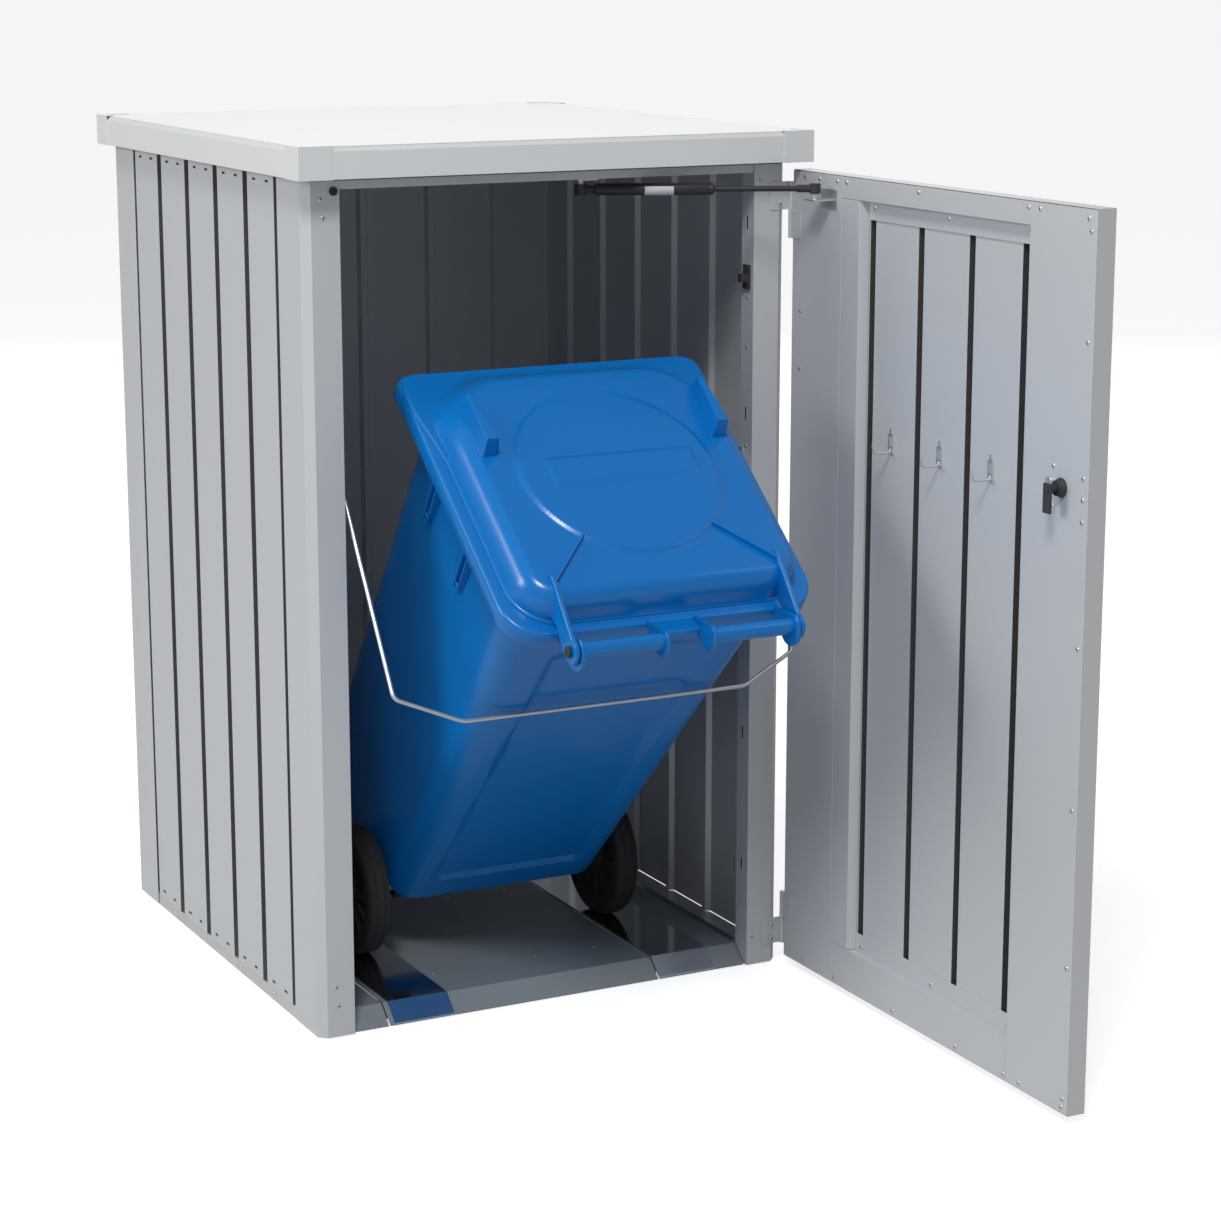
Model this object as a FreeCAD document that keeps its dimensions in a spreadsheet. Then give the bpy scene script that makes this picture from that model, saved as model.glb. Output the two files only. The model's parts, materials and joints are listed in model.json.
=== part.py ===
"""Steel cabinet for one wheeled bin: door, lid, tilting bin, bail and gas strut.

The frame has +X to the right, +Y to the back and +Z up, in millimetres.  Its origin is on
the floor, under the middle of the lid.  The door stands open and the bin leans forward.
"""
import FreeCAD, Part
import math
import os
import Sketcher

DRIVING = {
    # overall
    "lid_width": 800, "lid_depth": 860, "total_height": 1275, "lid_rim": 46,
    "side_overhang": 21, "front_overhang": 42, "rear_overhang": 14,
    # buffer and catch
    "buffer_drop": 14, "buffer_radius": 6, "buffer_length": 3, "buffer_inset": 45,
    "catch_drop": 165, "catch_width": 18, "catch_height": 36, "catch_base": 4, "catch_reach": 14,
    # sheet and gaps
    "post_gauge": 1.5, "skin_gauge": 1, "fit_gap": 0.5, "pin_clearance": 0.05,
    # base and floor
    "base_height": 20, "base_width": 30, "base_wall": 2, "cross_width": 40,
    "floor_top": 28, "floor_gauge": 2, "ramp_run": 29, "ramp_setback": 7,
    "seam_left": -268, "seam_right": 176, "floor_gap": 2,
    "track_width": 96, "track_offset": 8, "track_gauge": 1, "track_inner": 210,
    # posts and walls
    "post_face": 54, "post_side": 96, "post_chamfer": 12, "post_return": 36,
    "post_rear_face": 73, "rear_wall_shift": 20, "post_foot": 2, "post_top_gap": 4,
    "rib_pitch": 122.4, "rib_mouth": 18, "rib_floor": 8,
    "rib_depth": 8, "rib_spaces": 5, "wall_tuck": 12, "top_rail_height": 12, "top_rail_width": 22,
    # lid
    "corner_size": 50, "corner_proud": 1, "rim_bevel": 6, "rim_flange": 25, "rim_lip": 10,
    # door
    "door_length": 748, "door_start": 6, "door_thickness": 29, "door_bottom": 12, "door_top": 1217,
    "door_gap": 4, "hinge_reach": 6, "stile_hinge": 141, "stile_lock_width": 144, "recess": 15,
    "jamb_face": 47, "jamb_slope": 5, "rail_top_face": 32, "rail_bottom_face": 64,
    "infill_rib_first": 203, "infill_rib_end": 28.1, "skin_rib_depth": 3, "frame_gauge": 1.2,
    # hinges
    "knuckle_radius": 4, "pin_radius": 2.5, "leaf_gauge": 2, "leaf_height": 41, "leaf_width": 30,
    "upper_hinge_top": 1199, "lower_hinge_top": 114, "leaf_gap": 0.5,
    # bail
    "bail_wire": 3, "bail_pivot_z": 800, "bail_pivot_y": -352, "bail_arm_inset": 9,
    "bail_bend_x": 223, "bail_bend_drop": 322, "bail_drop": 366, "bail_lean": 33,
    # strut
    "strut_x": 56, "strut_y": -360, "strut_z": 1197, "strut_radius": 8.5, "rod_radius": 4,
    "ball_along": 108, "ball_inset": 25, "socket_radius": 8, "socket_height": 14,
    "cylinder_length": 172, "stud_radius": 5, "rod_inner": 148, "eye_length": 12,
    "strut_plate_half": 16, "ball_plate_half": 22, "ball_plate_height": 28, "ball_arm_half": 14,
    "socket_neck": 26, "socket_neck_radius": 5.5,
    # bin
    "wheel_radius": 98, "wheel_width": 36, "tyre_height": 18, "wheel_x": 192, "axle_radius": 10,
    "axle_y": -121, "bin_tilt": 45, "wheel_rest_gap": 0.3, "bin_wall": 3.2,
    "bin_top_half": 212, "bin_foot_half": 172, "bin_back": -53, "bin_back_top": -30,
    "bin_front_top": 370, "bin_front_foot": 274, "bin_foot": -60, "bin_step": 40,
    "bin_step_depth": 78, "bin_corner": 34, "bin_rim_z": 803, "bin_rim_half": 236,
    "bin_rim_depth": 30, "bin_rim_slope": 6.4, "bin_rim_out": 40, "bin_rim_near": 40,
    "bracket_x": 140, "bracket_width": 24, "bracket_depth": 36, "bracket_drop": 14,
    "lid_setback": 18, "lid_skirt": 20, "lid_wall": 3, "lid_gap": 1, "lid_end": 2, "dome_rise": 25,
    "dome_foot": 16, "dome_corner": 40, "arm_gauge": 8, "arm_gap": 1.5,
    "lid_pin_radius": 5, "pin_head_radius": 8, "pin_head": 3, "pin_shank": 11,
    "dome_inset": 34, "handle_y": -109, "handle_z": 827, "handle_half": 166, "handle_radius": 12,
    "handle_gap_half": 38, "plate_gauge": 6,
    # lock and hooks
    "lock_inset": 58, "lock_z": 855, "lock_spindle": 5, "spindle_reach": 24,
    "case_depth": 10, "case_width": 32, "case_height": 40,
    "cam_width": 16, "cam_gauge": 3, "cam_drop": 32, "cam_rise": 7,
    "grip_radius": 17, "grip_bar": 48, "grip_bar_width": 10, "grip_reach": 21,
    "hook_first": 260, "hook_z": 842, "hook_reach": 30, "hook_gauge": 4,
    "hook_width": 5, "hook_tip": 12, "hook_plate_width": 14, "hook_plate_rise": 24,
    "screw_radius": 3.6, "screw_height": 1.6,
}


class Size:
    """A length that carries its value and the spreadsheet expression that it comes from."""

    def __init__(self, text, value):
        self.text = text
        self.value = value

    def _with(self, other, sign, value):
        return Size(f"({self.text} {sign} {other.text})", value)

    def __add__(self, other):
        other = as_size(other)
        return self._with(other, "+", self.value + other.value)

    def __sub__(self, other):
        other = as_size(other)
        return self._with(other, "-", self.value - other.value)

    def __mul__(self, other):
        other = as_size(other)
        return self._with(other, "*", self.value * other.value)

    def __truediv__(self, other):
        other = as_size(other)
        return self._with(other, "/", self.value / other.value)

    def __radd__(self, other):
        return as_size(other) + self

    def __rsub__(self, other):
        return as_size(other) - self

    def __rmul__(self, other):
        return as_size(other) * self

    def __neg__(self):
        return Size(f"(0 - {self.text})", -self.value)


def as_size(item):
    """A plain number as a Size; a Size stays as it is."""
    if isinstance(item, Size):
        return item
    return Size(f"({float(item)})", float(item))


def sine(angle):
    """The sine of a Size in degrees."""
    return Size(f"sin({angle.text} * pi / 180)", math.sin(math.radians(angle.value)))


def cosine(angle):
    """The cosine of a Size in degrees."""
    return Size(f"cos({angle.text} * pi / 180)", math.cos(math.radians(angle.value)))


DOC = FreeCAD.newDocument("BinCabinet")


def make_sheet():
    """Write the driving sizes into the spreadsheet and return them by name."""
    sheet = DOC.addObject("Spreadsheet::Sheet", "Sizes")
    found = {}
    for row, (name, value) in enumerate(DRIVING.items(), start=1):
        sheet.set(f"A{row}", name)
        sheet.set(f"B{row}", str(value))
        sheet.setAlias(f"B{row}", name)
        found[name] = Size(f"Sizes.{name}", float(value))
    return found


V = make_sheet()
NODES = []
FOLD_SHIFT = 0.586


# ---------------------------------------------------------------- building blocks

def keep(label, obj):
    """Name a finished sub-part, so that it is checked and exported."""
    obj.Label = label
    NODES.append(obj)
    return obj


def place(obj, x=0, y=0, z=0, rotation=None):
    """Bind an object's position to sizes; a rotation is a FreeCAD.Rotation."""
    if rotation is not None:
        obj.Placement = FreeCAD.Placement(FreeCAD.Vector(), rotation)
    for letter, size in (("x", x), ("y", y), ("z", z)):
        obj.setExpression(f"Placement.Base.{letter}", as_size(size).text)
    return obj


def box(x_from, x_to, y_from, y_to, z_from, z_to):
    """A block between two corners."""
    obj = DOC.addObject("Part::Box", "Block")
    for name, low, high in (("Length", x_from, x_to), ("Width", y_from, y_to), ("Height", z_from, z_to)):
        obj.setExpression(name, (as_size(high) - low).text)
    return place(obj, x_from, y_from, z_from)


TURNS = {
    "x": FreeCAD.Rotation(FreeCAD.Vector(0, 1, 0), 90),
    "y": FreeCAD.Rotation(FreeCAD.Vector(1, 0, 0), -90),
    "z": FreeCAD.Rotation(),
}


def rod(axis, start, radius, length):
    """A round bar from a start point along +X, +Y or +Z."""
    obj = DOC.addObject("Part::Cylinder", "Bar")
    obj.setExpression("Radius", as_size(radius).text)
    obj.setExpression("Height", as_size(length).text)
    return place(obj, *start, rotation=TURNS[axis])


def cut(base, *tools):
    """The base with every tool taken away."""
    for tool in tools:
        obj = DOC.addObject("Part::Cut", "Cut")
        obj.Base = base
        obj.Tool = tool
        base = obj
    return base


def fuse(*shapes):
    """Several shapes joined into one solid."""
    obj = DOC.addObject("Part::MultiFuse", "Joined")
    obj.Shapes = list(shapes)
    obj.Refine = True
    return obj


def together(*shapes):
    """Identical separate pieces kept as one group of solids."""
    obj = DOC.addObject("Part::Compound", "Group")
    obj.Links = list(shapes)
    return obj


def tube(axis, start, outer, inner, length):
    """A round tube along +X, +Y or +Z."""
    return cut(rod(axis, start, outer, length), rod(axis, start, inner, length))


def new_body():
    """An empty PartDesign body."""
    return DOC.addObject("PartDesign::Body", "Body")


def origin_feature(body, role):
    """One of a body's own origin planes or axes, by its role."""
    return next(item for item in body.Origin.OriginFeatures if item.Role == role)


def outline(body, role, level, points):
    """A closed outline parallel to an origin plane, each corner held by its two distances."""
    sketch = body.newObject("Sketcher::SketchObject", "Outline")
    sketch.AttachmentSupport = (origin_feature(body, role), [""])
    sketch.MapMode = "FlatFace"
    sketch.setExpression("AttachmentOffset.Base.z", as_size(level).text)
    points = [(as_size(a), as_size(b)) for a, b in points]
    corners = [FreeCAD.Vector(a.value, b.value, 0) for a, b in points]
    count = len(corners)
    for index in range(count):
        sketch.addGeometry(Part.LineSegment(corners[index], corners[(index + 1) % count]), False)
    for index in range(count):
        sketch.addConstraint(Sketcher.Constraint("Coincident", index, 2, (index + 1) % count, 1))
    for index, pair in enumerate(points):
        for kind, size in zip(("DistanceX", "DistanceY"), pair):
            number = sketch.addConstraint(Sketcher.Constraint(kind, -1, 1, index, 1, size.value))
            sketch.setExpression(f"Constraints[{number}]", size.text)
    return sketch


def pad(body, sketch, length, backward=False):
    """Raise an outline into a solid."""
    feature = body.newObject("PartDesign::Pad", "Pad")
    feature.Profile = sketch
    feature.setExpression("Length", as_size(length).text)
    feature.Reversed = backward
    return feature


def pocket(body, sketch, length):
    """Cut an outline away, on the side that its normal points to."""
    feature = body.newObject("PartDesign::Pocket", "Pocket")
    feature.Profile = sketch
    feature.setExpression("Length", as_size(length).text)
    feature.Reversed = True
    return feature


def row_of(body, feature, axis, pitch, count, backward=False):
    """Repeat a feature along an origin axis."""
    pattern = body.newObject("PartDesign::LinearPattern", "Row")
    pattern.Originals = [feature]
    pattern.Direction = (origin_feature(body, axis), [""])
    pattern.Reversed = backward
    pattern.Occurrences = count
    pattern.setExpression("Length", (as_size(pitch) * (count - 1)).text)
    body.Tip = pattern
    return pattern


def prism(role, level, length, points, backward=False):
    """A body of one padded outline."""
    body = new_body()
    pad(body, outline(body, role, level, points), length, backward)
    return body


def frustum(low_level, low_points, high_level, high_points):
    """A straight-sided loft between two level outlines."""
    body = new_body()
    low = outline(body, "XY_Plane", low_level, low_points)
    high = outline(body, "XY_Plane", high_level, high_points)
    loft = body.newObject("PartDesign::AdditiveLoft", "Loft")
    loft.Profile = low
    loft.Sections = [high]
    loft.Ruled = True
    return body


def turned(axis, points, start):
    """A body turned about its own Z, then laid along an axis; points are radius and height."""
    body = new_body()
    feature = body.newObject("PartDesign::Revolution", "Turned")
    feature.Profile = outline(body, "XZ_Plane", 0, points)
    feature.ReferenceAxis = (origin_feature(body, "Z_Axis"), [""])
    feature.Angle = 360
    return place(body, *start, rotation=TURNS[axis])


# ---------------------------------------------------------------- shared places

BODY_HALF = V["lid_width"] / 2 - V["side_overhang"]
FRONT_Y = V["front_overhang"] - V["lid_depth"] / 2
REAR_Y = V["lid_depth"] / 2 - V["rear_overhang"]
RIM_BOTTOM = V["total_height"] - V["lid_rim"]
POST_TOP = RIM_BOTTOM - V["post_top_gap"]
OPENING_HALF = BODY_HALF - V["post_face"]
WALL_FRONT = FRONT_Y + V["post_side"]
WALL_REAR = WALL_FRONT + V["rib_pitch"] * V["rib_spaces"]
HINGE_X = BODY_HALF + V["hinge_reach"]
HINGE_Y = FRONT_Y - V["door_gap"]
AXLE_Z = V["floor_top"] + V["track_gauge"] + V["wheel_radius"] + V["wheel_rest_gap"]
MIRROR = {"left": -1, "right": 1}
DOOR_RIBS = 4
HOOKS = 3
STILE_LOCK = V["door_length"] - V["stile_lock_width"]
LOCK_ALONG = V["door_length"] - V["lock_inset"]
DOOR_RIB_PITCH = (STILE_LOCK - V["infill_rib_first"] - V["infill_rib_end"]) / (DOOR_RIBS - 1)
BAIL_ARM_X = OPENING_HALF - V["bail_arm_inset"]


def side_points(side, points):
    """Outline points for the right side, or mirrored for the left."""
    return [(as_size(x) * MIRROR[side], y) for x, y in points]


# ---------------------------------------------------------------- base and floor

def hollow_rail(x_from, x_to, y_from, y_to, along):
    """A rectangular tube that lies on the ground along X or Y."""
    outer = box(x_from, x_to, y_from, y_to, 0, V["base_height"])
    wall = V["base_wall"]
    low, high = wall, V["base_height"] - wall
    if along == "x":
        inner = box(x_from, x_to, y_from + wall, y_to - wall, low, high)
    else:
        inner = box(x_from + wall, x_to - wall, y_from, y_to, low, high)
    return cut(outer, inner)


def make_base():
    """Four aluminium tubes and a cross tube under the middle."""
    outer_x = BODY_HALF - V["post_gauge"] - V["fit_gap"]
    inner_x = outer_x - V["base_width"]
    front = FRONT_Y + V["post_gauge"] + V["fit_gap"]
    ramp_top = FRONT_Y + V["ramp_setback"] + V["ramp_run"]
    chamfer_clear = front + V["post_chamfer"]
    rear = REAR_Y - V["post_gauge"] - V["fit_gap"] - V["post_chamfer"]
    sides = [hollow_rail(-outer_x, -inner_x, chamfer_clear, rear, "y"),
             hollow_rail(inner_x, outer_x, chamfer_clear, rear, "y")]
    keep("base_rails_side", together(*sides))
    gap = V["fit_gap"]
    keep("base_rail_front", hollow_rail(gap - inner_x, inner_x - gap, ramp_top + 4,
                                        ramp_top + 4 + V["base_width"], "x"))
    keep("base_rail_rear", hollow_rail(gap - inner_x, inner_x - gap, rear - V["base_width"], rear, "x"))
    keep("base_cross_rail", hollow_rail(gap - inner_x, inner_x - gap, -V["cross_width"] / 2,
                                        V["cross_width"] / 2, "x"))


def ramp_profile(raise_by, gauge):
    """A folded sheet seen from the side, as (y, z) points: level floor, then a ramp to the ground."""
    top = V["floor_top"] + raise_by
    nose_y = FRONT_Y + V["ramp_setback"]
    bend_y = nose_y + V["ramp_run"]
    back_y = REAR_Y - V["post_gauge"] - V["fit_gap"] - V["skin_gauge"] - V["rib_depth"] - 2
    nose_z = V["floor_gauge"] + 1 + raise_by
    return [(back_y, top), (bend_y, top), (nose_y, nose_z), (nose_y, nose_z - gauge),
            (bend_y + (gauge - raise_by) / 2, top - gauge), (back_y, top - gauge)]


def make_floor():
    """Three floor plates that fold down at the front, and two polished wheel tracks on them."""
    inside = OPENING_HALF - V["fit_gap"] - 1
    spans = {"floor_plate_left": (-inside, V["seam_left"] - V["floor_gap"] / 2),
             "floor_plate_middle": (V["seam_left"] + V["floor_gap"] / 2, V["seam_right"] - V["floor_gap"] / 2),
             "floor_plate_right": (V["seam_right"] + V["floor_gap"] / 2, inside)}
    for label, (low, high) in spans.items():
        keep(label, prism("YZ_Plane", low, high - low, ramp_profile(as_size(0), V["floor_gauge"])))
    tracks = []
    for start in (V["seam_left"] + V["track_offset"], V["seam_right"] + V["floor_gap"]):
        profile = ramp_profile(V["track_gauge"], V["track_gauge"])
        tracks.append(prism("YZ_Plane", start, V["track_width"], profile))
    keep("wheel_tracks", together(*tracks))


# ---------------------------------------------------------------- posts, walls, top rails

def front_post_profile():
    """A folded post seen from above, as the right-hand one."""
    gauge, chamfer = V["post_gauge"], V["post_chamfer"]
    slant = gauge * FOLD_SHIFT
    side, face, inner = BODY_HALF, FRONT_Y, OPENING_HALF
    return [(side, WALL_FRONT), (side, face + chamfer), (side - chamfer, face), (inner, face),
            (inner, face + V["post_return"]), (inner + gauge, face + V["post_return"]),
            (inner + gauge, face + gauge), (side - chamfer - slant, face + gauge),
            (side - gauge, face + chamfer + slant), (side - gauge, WALL_FRONT)]


def rear_post_profile(shift):
    """A folded rear corner post seen from above, as the right-hand one; shift widens its face."""
    gauge, chamfer = V["post_gauge"], V["post_chamfer"]
    slant = gauge * FOLD_SHIFT
    side, face = BODY_HALF, REAR_Y
    inner = side - V["post_rear_face"] + V["rear_wall_shift"] * shift
    return [(side, WALL_REAR), (side - gauge, WALL_REAR), (side - gauge, face - chamfer - slant),
            (side - chamfer - slant, face - gauge), (inner, face - gauge), (inner, face),
            (side - chamfer, face), (side, face - chamfer)]


def make_posts():
    """Four folded corner posts; the front left one has a slot for the lock cam."""
    height = POST_TOP - V["post_foot"]
    slot = box(-OPENING_HALF - 4, 2 - OPENING_HALF, HINGE_Y + 12, HINGE_Y + 30,
               V["lock_z"] - 12, V["lock_z"] + 12)
    for side in ("left", "right"):
        post = prism("XY_Plane", V["post_foot"], height, side_points(side, front_post_profile()))
        holes = [rod("x", (OPENING_HALF * MIRROR[side] - 4, V["bail_pivot_y"], V["bail_pivot_z"]),
                     V["bail_wire"] + 2, 8)]
        if side == "left":
            holes.append(slot)
        keep(f"post_front_{side}", cut(post, *holes))
        keep(f"post_rear_{side}", prism("XY_Plane", V["post_foot"], height,
                                        side_points(side, rear_post_profile(-MIRROR[side]))))


def wall_outline(face, inward, start, end):
    """A wall seen from above as (across, along): a flat sheet with both edges stepped inward."""
    depth, gauge, tuck = V["rib_depth"] * inward, V["skin_gauge"] * inward, V["wall_tuck"]
    slope = (V["rib_mouth"] - V["rib_floor"]) / 2
    shelf = V["rib_floor"] / 2 + 2
    return [(face + depth, start - tuck), (face + depth, start + shelf), (face, start + shelf + slope),
            (face, end - shelf - slope), (face + depth, end - shelf), (face + depth, end + tuck),
            (face + depth + gauge, end + tuck), (face + depth + gauge, end - shelf - 1),
            (face + gauge, end - shelf - slope - 1), (face + gauge, start + shelf + slope + 1),
            (face + depth + gauge, start + shelf + 1), (face + depth + gauge, start - tuck)]


def rib_outline(face, inward, centre, grow):
    """One trapezoid rib seen from above, as (across, along); grow is the sheet's gauge or nothing."""
    mouth, floor = V["rib_mouth"] / 2 + grow, V["rib_floor"] / 2 + grow
    depth = (V["rib_depth"] + grow) * inward
    return [(face, centre - mouth), (face, centre + mouth), (face + depth, centre + floor),
            (face + depth, centre - floor)]


def ribbed_wall(face, inward, start, end, along, low, high):
    """A wall sheet with stepped edges and ribs folded inward along its height."""
    def turn(points):
        if along == "y":
            return points
        return [(b, a) for a, b in points]

    body = new_body()
    height = high - low
    pad(body, outline(body, "XY_Plane", low, turn(wall_outline(face, inward, start, end))), height)
    first = start + V["rib_pitch"]
    count = round((end.value - start.value) / V["rib_pitch"].value) - 1
    axis = {"x": "X_Axis", "y": "Y_Axis"}[along]
    rib = pad(body, outline(body, "XY_Plane", low, turn(rib_outline(face, inward, first, V["skin_gauge"]))),
              height)
    row_of(body, rib, axis, V["rib_pitch"], count)
    groove = pocket(body, outline(body, "XY_Plane", low, turn(rib_outline(face, inward, first, 0))), height)
    row_of(body, groove, axis, V["rib_pitch"], count)
    return body


def make_walls():
    """Two side walls and a rear wall between the posts."""
    low, high = V["base_height"] + V["fit_gap"], POST_TOP
    for side, sign in MIRROR.items():
        keep(f"side_panel_{side}",
             ribbed_wall(BODY_HALF * sign, -sign, WALL_FRONT, WALL_REAR, "y", low, high))
    rear_half = BODY_HALF - V["post_rear_face"]
    shift = V["rear_wall_shift"]
    keep("rear_panel", ribbed_wall(REAR_Y, -1, -rear_half - shift, rear_half - shift, "x", low, high))


def make_top_rails():
    """The ring of rails that the walls hang from and the lid closes over."""
    top, low = POST_TOP, POST_TOP - V["top_rail_height"]
    width = V["top_rail_width"]
    gap = V["fit_gap"]
    front = FRONT_Y + V["post_gauge"] + gap
    inner = BODY_HALF - V["rib_depth"] - V["skin_gauge"] - gap
    rear = REAR_Y - V["rib_depth"] - V["skin_gauge"] - gap
    clear = OPENING_HALF - gap
    channel = V["post_gauge"]

    def rail(x_from, x_to, y_from, y_to, along):
        outer = box(x_from, x_to, y_from, y_to, low, top)
        if along == "x":
            return cut(outer, box(x_from, x_to, y_from + channel, y_to - channel, low + channel, top))
        return cut(outer, box(x_from + channel, x_to - channel, y_from, y_to, low + channel, top))

    keep("top_rail_front", rail(-clear, clear, front, front + width, "x"))
    keep("top_rail_rear", rail(gap + width - inner, inner - width - gap, rear - width, rear, "x"))
    side_front = WALL_FRONT + 2
    sides = [rail(-inner, width - inner, side_front, rear, "y"), rail(inner - width, inner, side_front, rear, "y")]
    keep("top_rails_side", together(*sides))


# ---------------------------------------------------------------- hinges and small cabinet parts

def post_leaf(top):
    """A hinge leaf on the post's face, with the lower part of its pin left free for the door."""
    bottom = top - V["leaf_height"]
    plate = box(HINGE_X - V["knuckle_radius"] - V["leaf_width"], HINGE_X - V["knuckle_radius"] + 1,
                FRONT_Y - V["leaf_gauge"], FRONT_Y, bottom, top)
    return fuse(plate, rod("z", (HINGE_X, HINGE_Y, bottom), V["knuckle_radius"], V["leaf_height"]))


def door_leaf(top):
    """A hinge leaf on the door's inner face, bored for the pin."""
    bottom = top - V["leaf_height"]
    plate = box(HINGE_X - V["leaf_gauge"], HINGE_X, HINGE_Y - V["leaf_width"], HINGE_Y - 2, bottom, top)
    knuckle = rod("z", (HINGE_X, HINGE_Y, bottom), V["knuckle_radius"], V["leaf_height"])
    bore = rod("z", (HINGE_X, HINGE_Y, bottom), V["pin_radius"] + V["pin_clearance"], V["leaf_height"])
    return cut(fuse(plate, knuckle), bore)


def make_hinges():
    """Two lift-off hinges: the pins are fixed in the post leaves and turn in the door leaves."""
    leaf, gap = V["leaf_height"], V["leaf_gap"]
    upper, lower = V["upper_hinge_top"], V["lower_hinge_top"]
    pins = [rod("z", (HINGE_X, HINGE_Y, upper - leaf * 2 - gap), V["pin_radius"], leaf + gap),
            rod("z", (HINGE_X, HINGE_Y, lower - leaf - gap), V["pin_radius"], leaf + gap)]
    fixed = [fuse(post_leaf(upper), pins[0]), fuse(post_leaf(lower - leaf - gap), pins[1])]
    keep("post_hinge_leaves", together(*fixed))
    keep("door_hinge_leaves", together(door_leaf(upper - leaf - gap), door_leaf(lower)))


def lid_hinge_place():
    """Where the lid's hinge axis runs, as (y, z)."""
    return REAR_Y + 8, RIM_BOTTOM - 8


def make_lid_hinges():
    """Two three-knuckle hinges behind the rear wall, with the pins fixed in the lower leaves."""
    y, z = lid_hinge_place()
    reach = V["leaf_width"]
    fixed, moving = [], []
    for sign in (-1, 1):
        x = V["lid_width"] * 0.3 * sign - reach
        knuckles = [rod("x", (x, y, z), V["knuckle_radius"], reach * 0.65),
                    rod("x", (x + reach * 1.35, y, z), V["knuckle_radius"], reach * 0.65)]
        webs = [box(x, x + reach * 0.65, REAR_Y, y, z - 3, z - 1),
                box(x + reach * 1.35, x + reach * 2, REAR_Y, y, z - 3, z - 1)]
        plate = box(x, x + reach * 2, REAR_Y, REAR_Y + V["leaf_gauge"], z - 34, z - 1)
        pin = rod("x", (x, y, z), V["pin_radius"], reach * 2)
        fixed.append(fuse(plate, pin, *knuckles, *webs))
        middle = rod("x", (x + reach * 0.65 + 0.5, y, z), V["knuckle_radius"], reach * 0.7 - 1)
        arm = box(x + reach * 0.65 + 0.5, x + reach * 1.35 - 0.5, y, y + 3, z, RIM_BOTTOM + V["corner_proud"] / 2)
        bore = rod("x", (x, y, z), V["pin_radius"] + V["pin_clearance"], reach * 2)
        moving.append(cut(fuse(middle, arm), bore))
    keep("lid_hinge_leaves", together(*fixed))
    keep("lid_hinge_flaps", together(*moving))


def make_small_cabinet_parts():
    """The door buffer, the black catch, the bail's bushes and the strut's bracket."""
    buffer_at = (V["buffer_inset"] - BODY_HALF, FRONT_Y - V["buffer_length"], POST_TOP - V["buffer_drop"])
    keep("door_buffer", rod("y", buffer_at, V["buffer_radius"], V["buffer_length"]))
    middle = POST_TOP - V["catch_drop"]
    face, start = OPENING_HALF, FRONT_Y + 8
    base, half = V["catch_base"], V["catch_height"] / 2
    catch = fuse(box(face - base, face, start, start + V["catch_width"], middle - half, middle + half),
                 box(face - V["catch_reach"], face - base + 1, start + 3, start + V["catch_width"] - 3,
                     middle - 7, middle + 5))
    keep("door_catch", catch)
    bushes = []
    for sign in (-1, 1):
        start = OPENING_HALF * sign - 2.5 + sign * 0.75
        outer = rod("x", (start, V["bail_pivot_y"], V["bail_pivot_z"]), V["bail_wire"] + 1.95, 5)
        bushes.append(cut(outer, rod("x", (start, V["bail_pivot_y"], V["bail_pivot_z"]),
                                     V["bail_wire"] + V["pin_clearance"], 5)))
    keep("bail_bushes", together(*bushes))
    rail_low = POST_TOP - V["top_rail_height"]
    x, y = V["strut_x"], V["strut_y"]
    half = V["strut_plate_half"]
    plate = box(x - half, x + half, FRONT_Y + 4, y + half - 2, rail_low - 2, rail_low)
    stud = rod("z", (x, y, V["strut_z"] - V["strut_radius"]), V["stud_radius"] - 1,
               rail_low - 1 - V["strut_z"] + V["strut_radius"])
    keep("strut_bracket", fuse(plate, stud))


def head_screw(axis, point, out):
    """A pan head on a face: out is +1 or -1 along the axis."""
    height = V["screw_height"]
    x, y, z = point
    shift = {"x": (1, 0, 0), "y": (0, 1, 0), "z": (0, 0, 1)}[axis]
    low = 0 if out > 0 else -height
    start = (x + shift[0] * low, y + shift[1] * low, z + shift[2] * low)
    return rod(axis, start, V["screw_radius"], height)


def make_cabinet_screws():
    """Pan-head screws on both front posts and on the fixed hinge leaves."""
    heads = []
    low, high = 48, POST_TOP - 24
    for x in (22 - BODY_HALF, BODY_HALF - 48):
        for z in (low, low + 30, high - 24, high):
            if x.value < 0 or z in (low, high):
                heads.append(head_screw("y", (x, FRONT_Y, z), -1))
    leaf_x = HINGE_X - V["knuckle_radius"] - V["leaf_width"] / 2 - 4
    leaf, gap = V["leaf_height"], V["leaf_gap"]
    for top in (V["upper_hinge_top"], V["lower_hinge_top"] - leaf - gap):
        for z in (top - 9, top - leaf + 9):
            heads.append(head_screw("y", (leaf_x, FRONT_Y - V["leaf_gauge"], z), -1))
    keep("cabinet_screws", together(*heads))


# ---------------------------------------------------------------- lid

def rim_profile(half):
    """The rim seen along its length, as (outward, up) for an outward distance of the outer face."""
    gauge, bevel = V["post_gauge"], V["rim_bevel"]
    top = V["total_height"] - V["corner_proud"] - gauge
    low, face = RIM_BOTTOM + V["corner_proud"] / 2, half - V["corner_proud"]
    slant = gauge * FOLD_SHIFT
    return [(face - V["rim_lip"], low), (face, low), (face, top - bevel + slant), (face - bevel + slant, top),
            (face - V["rim_flange"], top), (face - V["rim_flange"], top - gauge),
            (face - bevel - slant + gauge / 2, top - gauge), (face - gauge, top - bevel - slant + gauge / 2),
            (face - gauge, low + gauge), (face - V["rim_lip"], low + gauge)]


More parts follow.
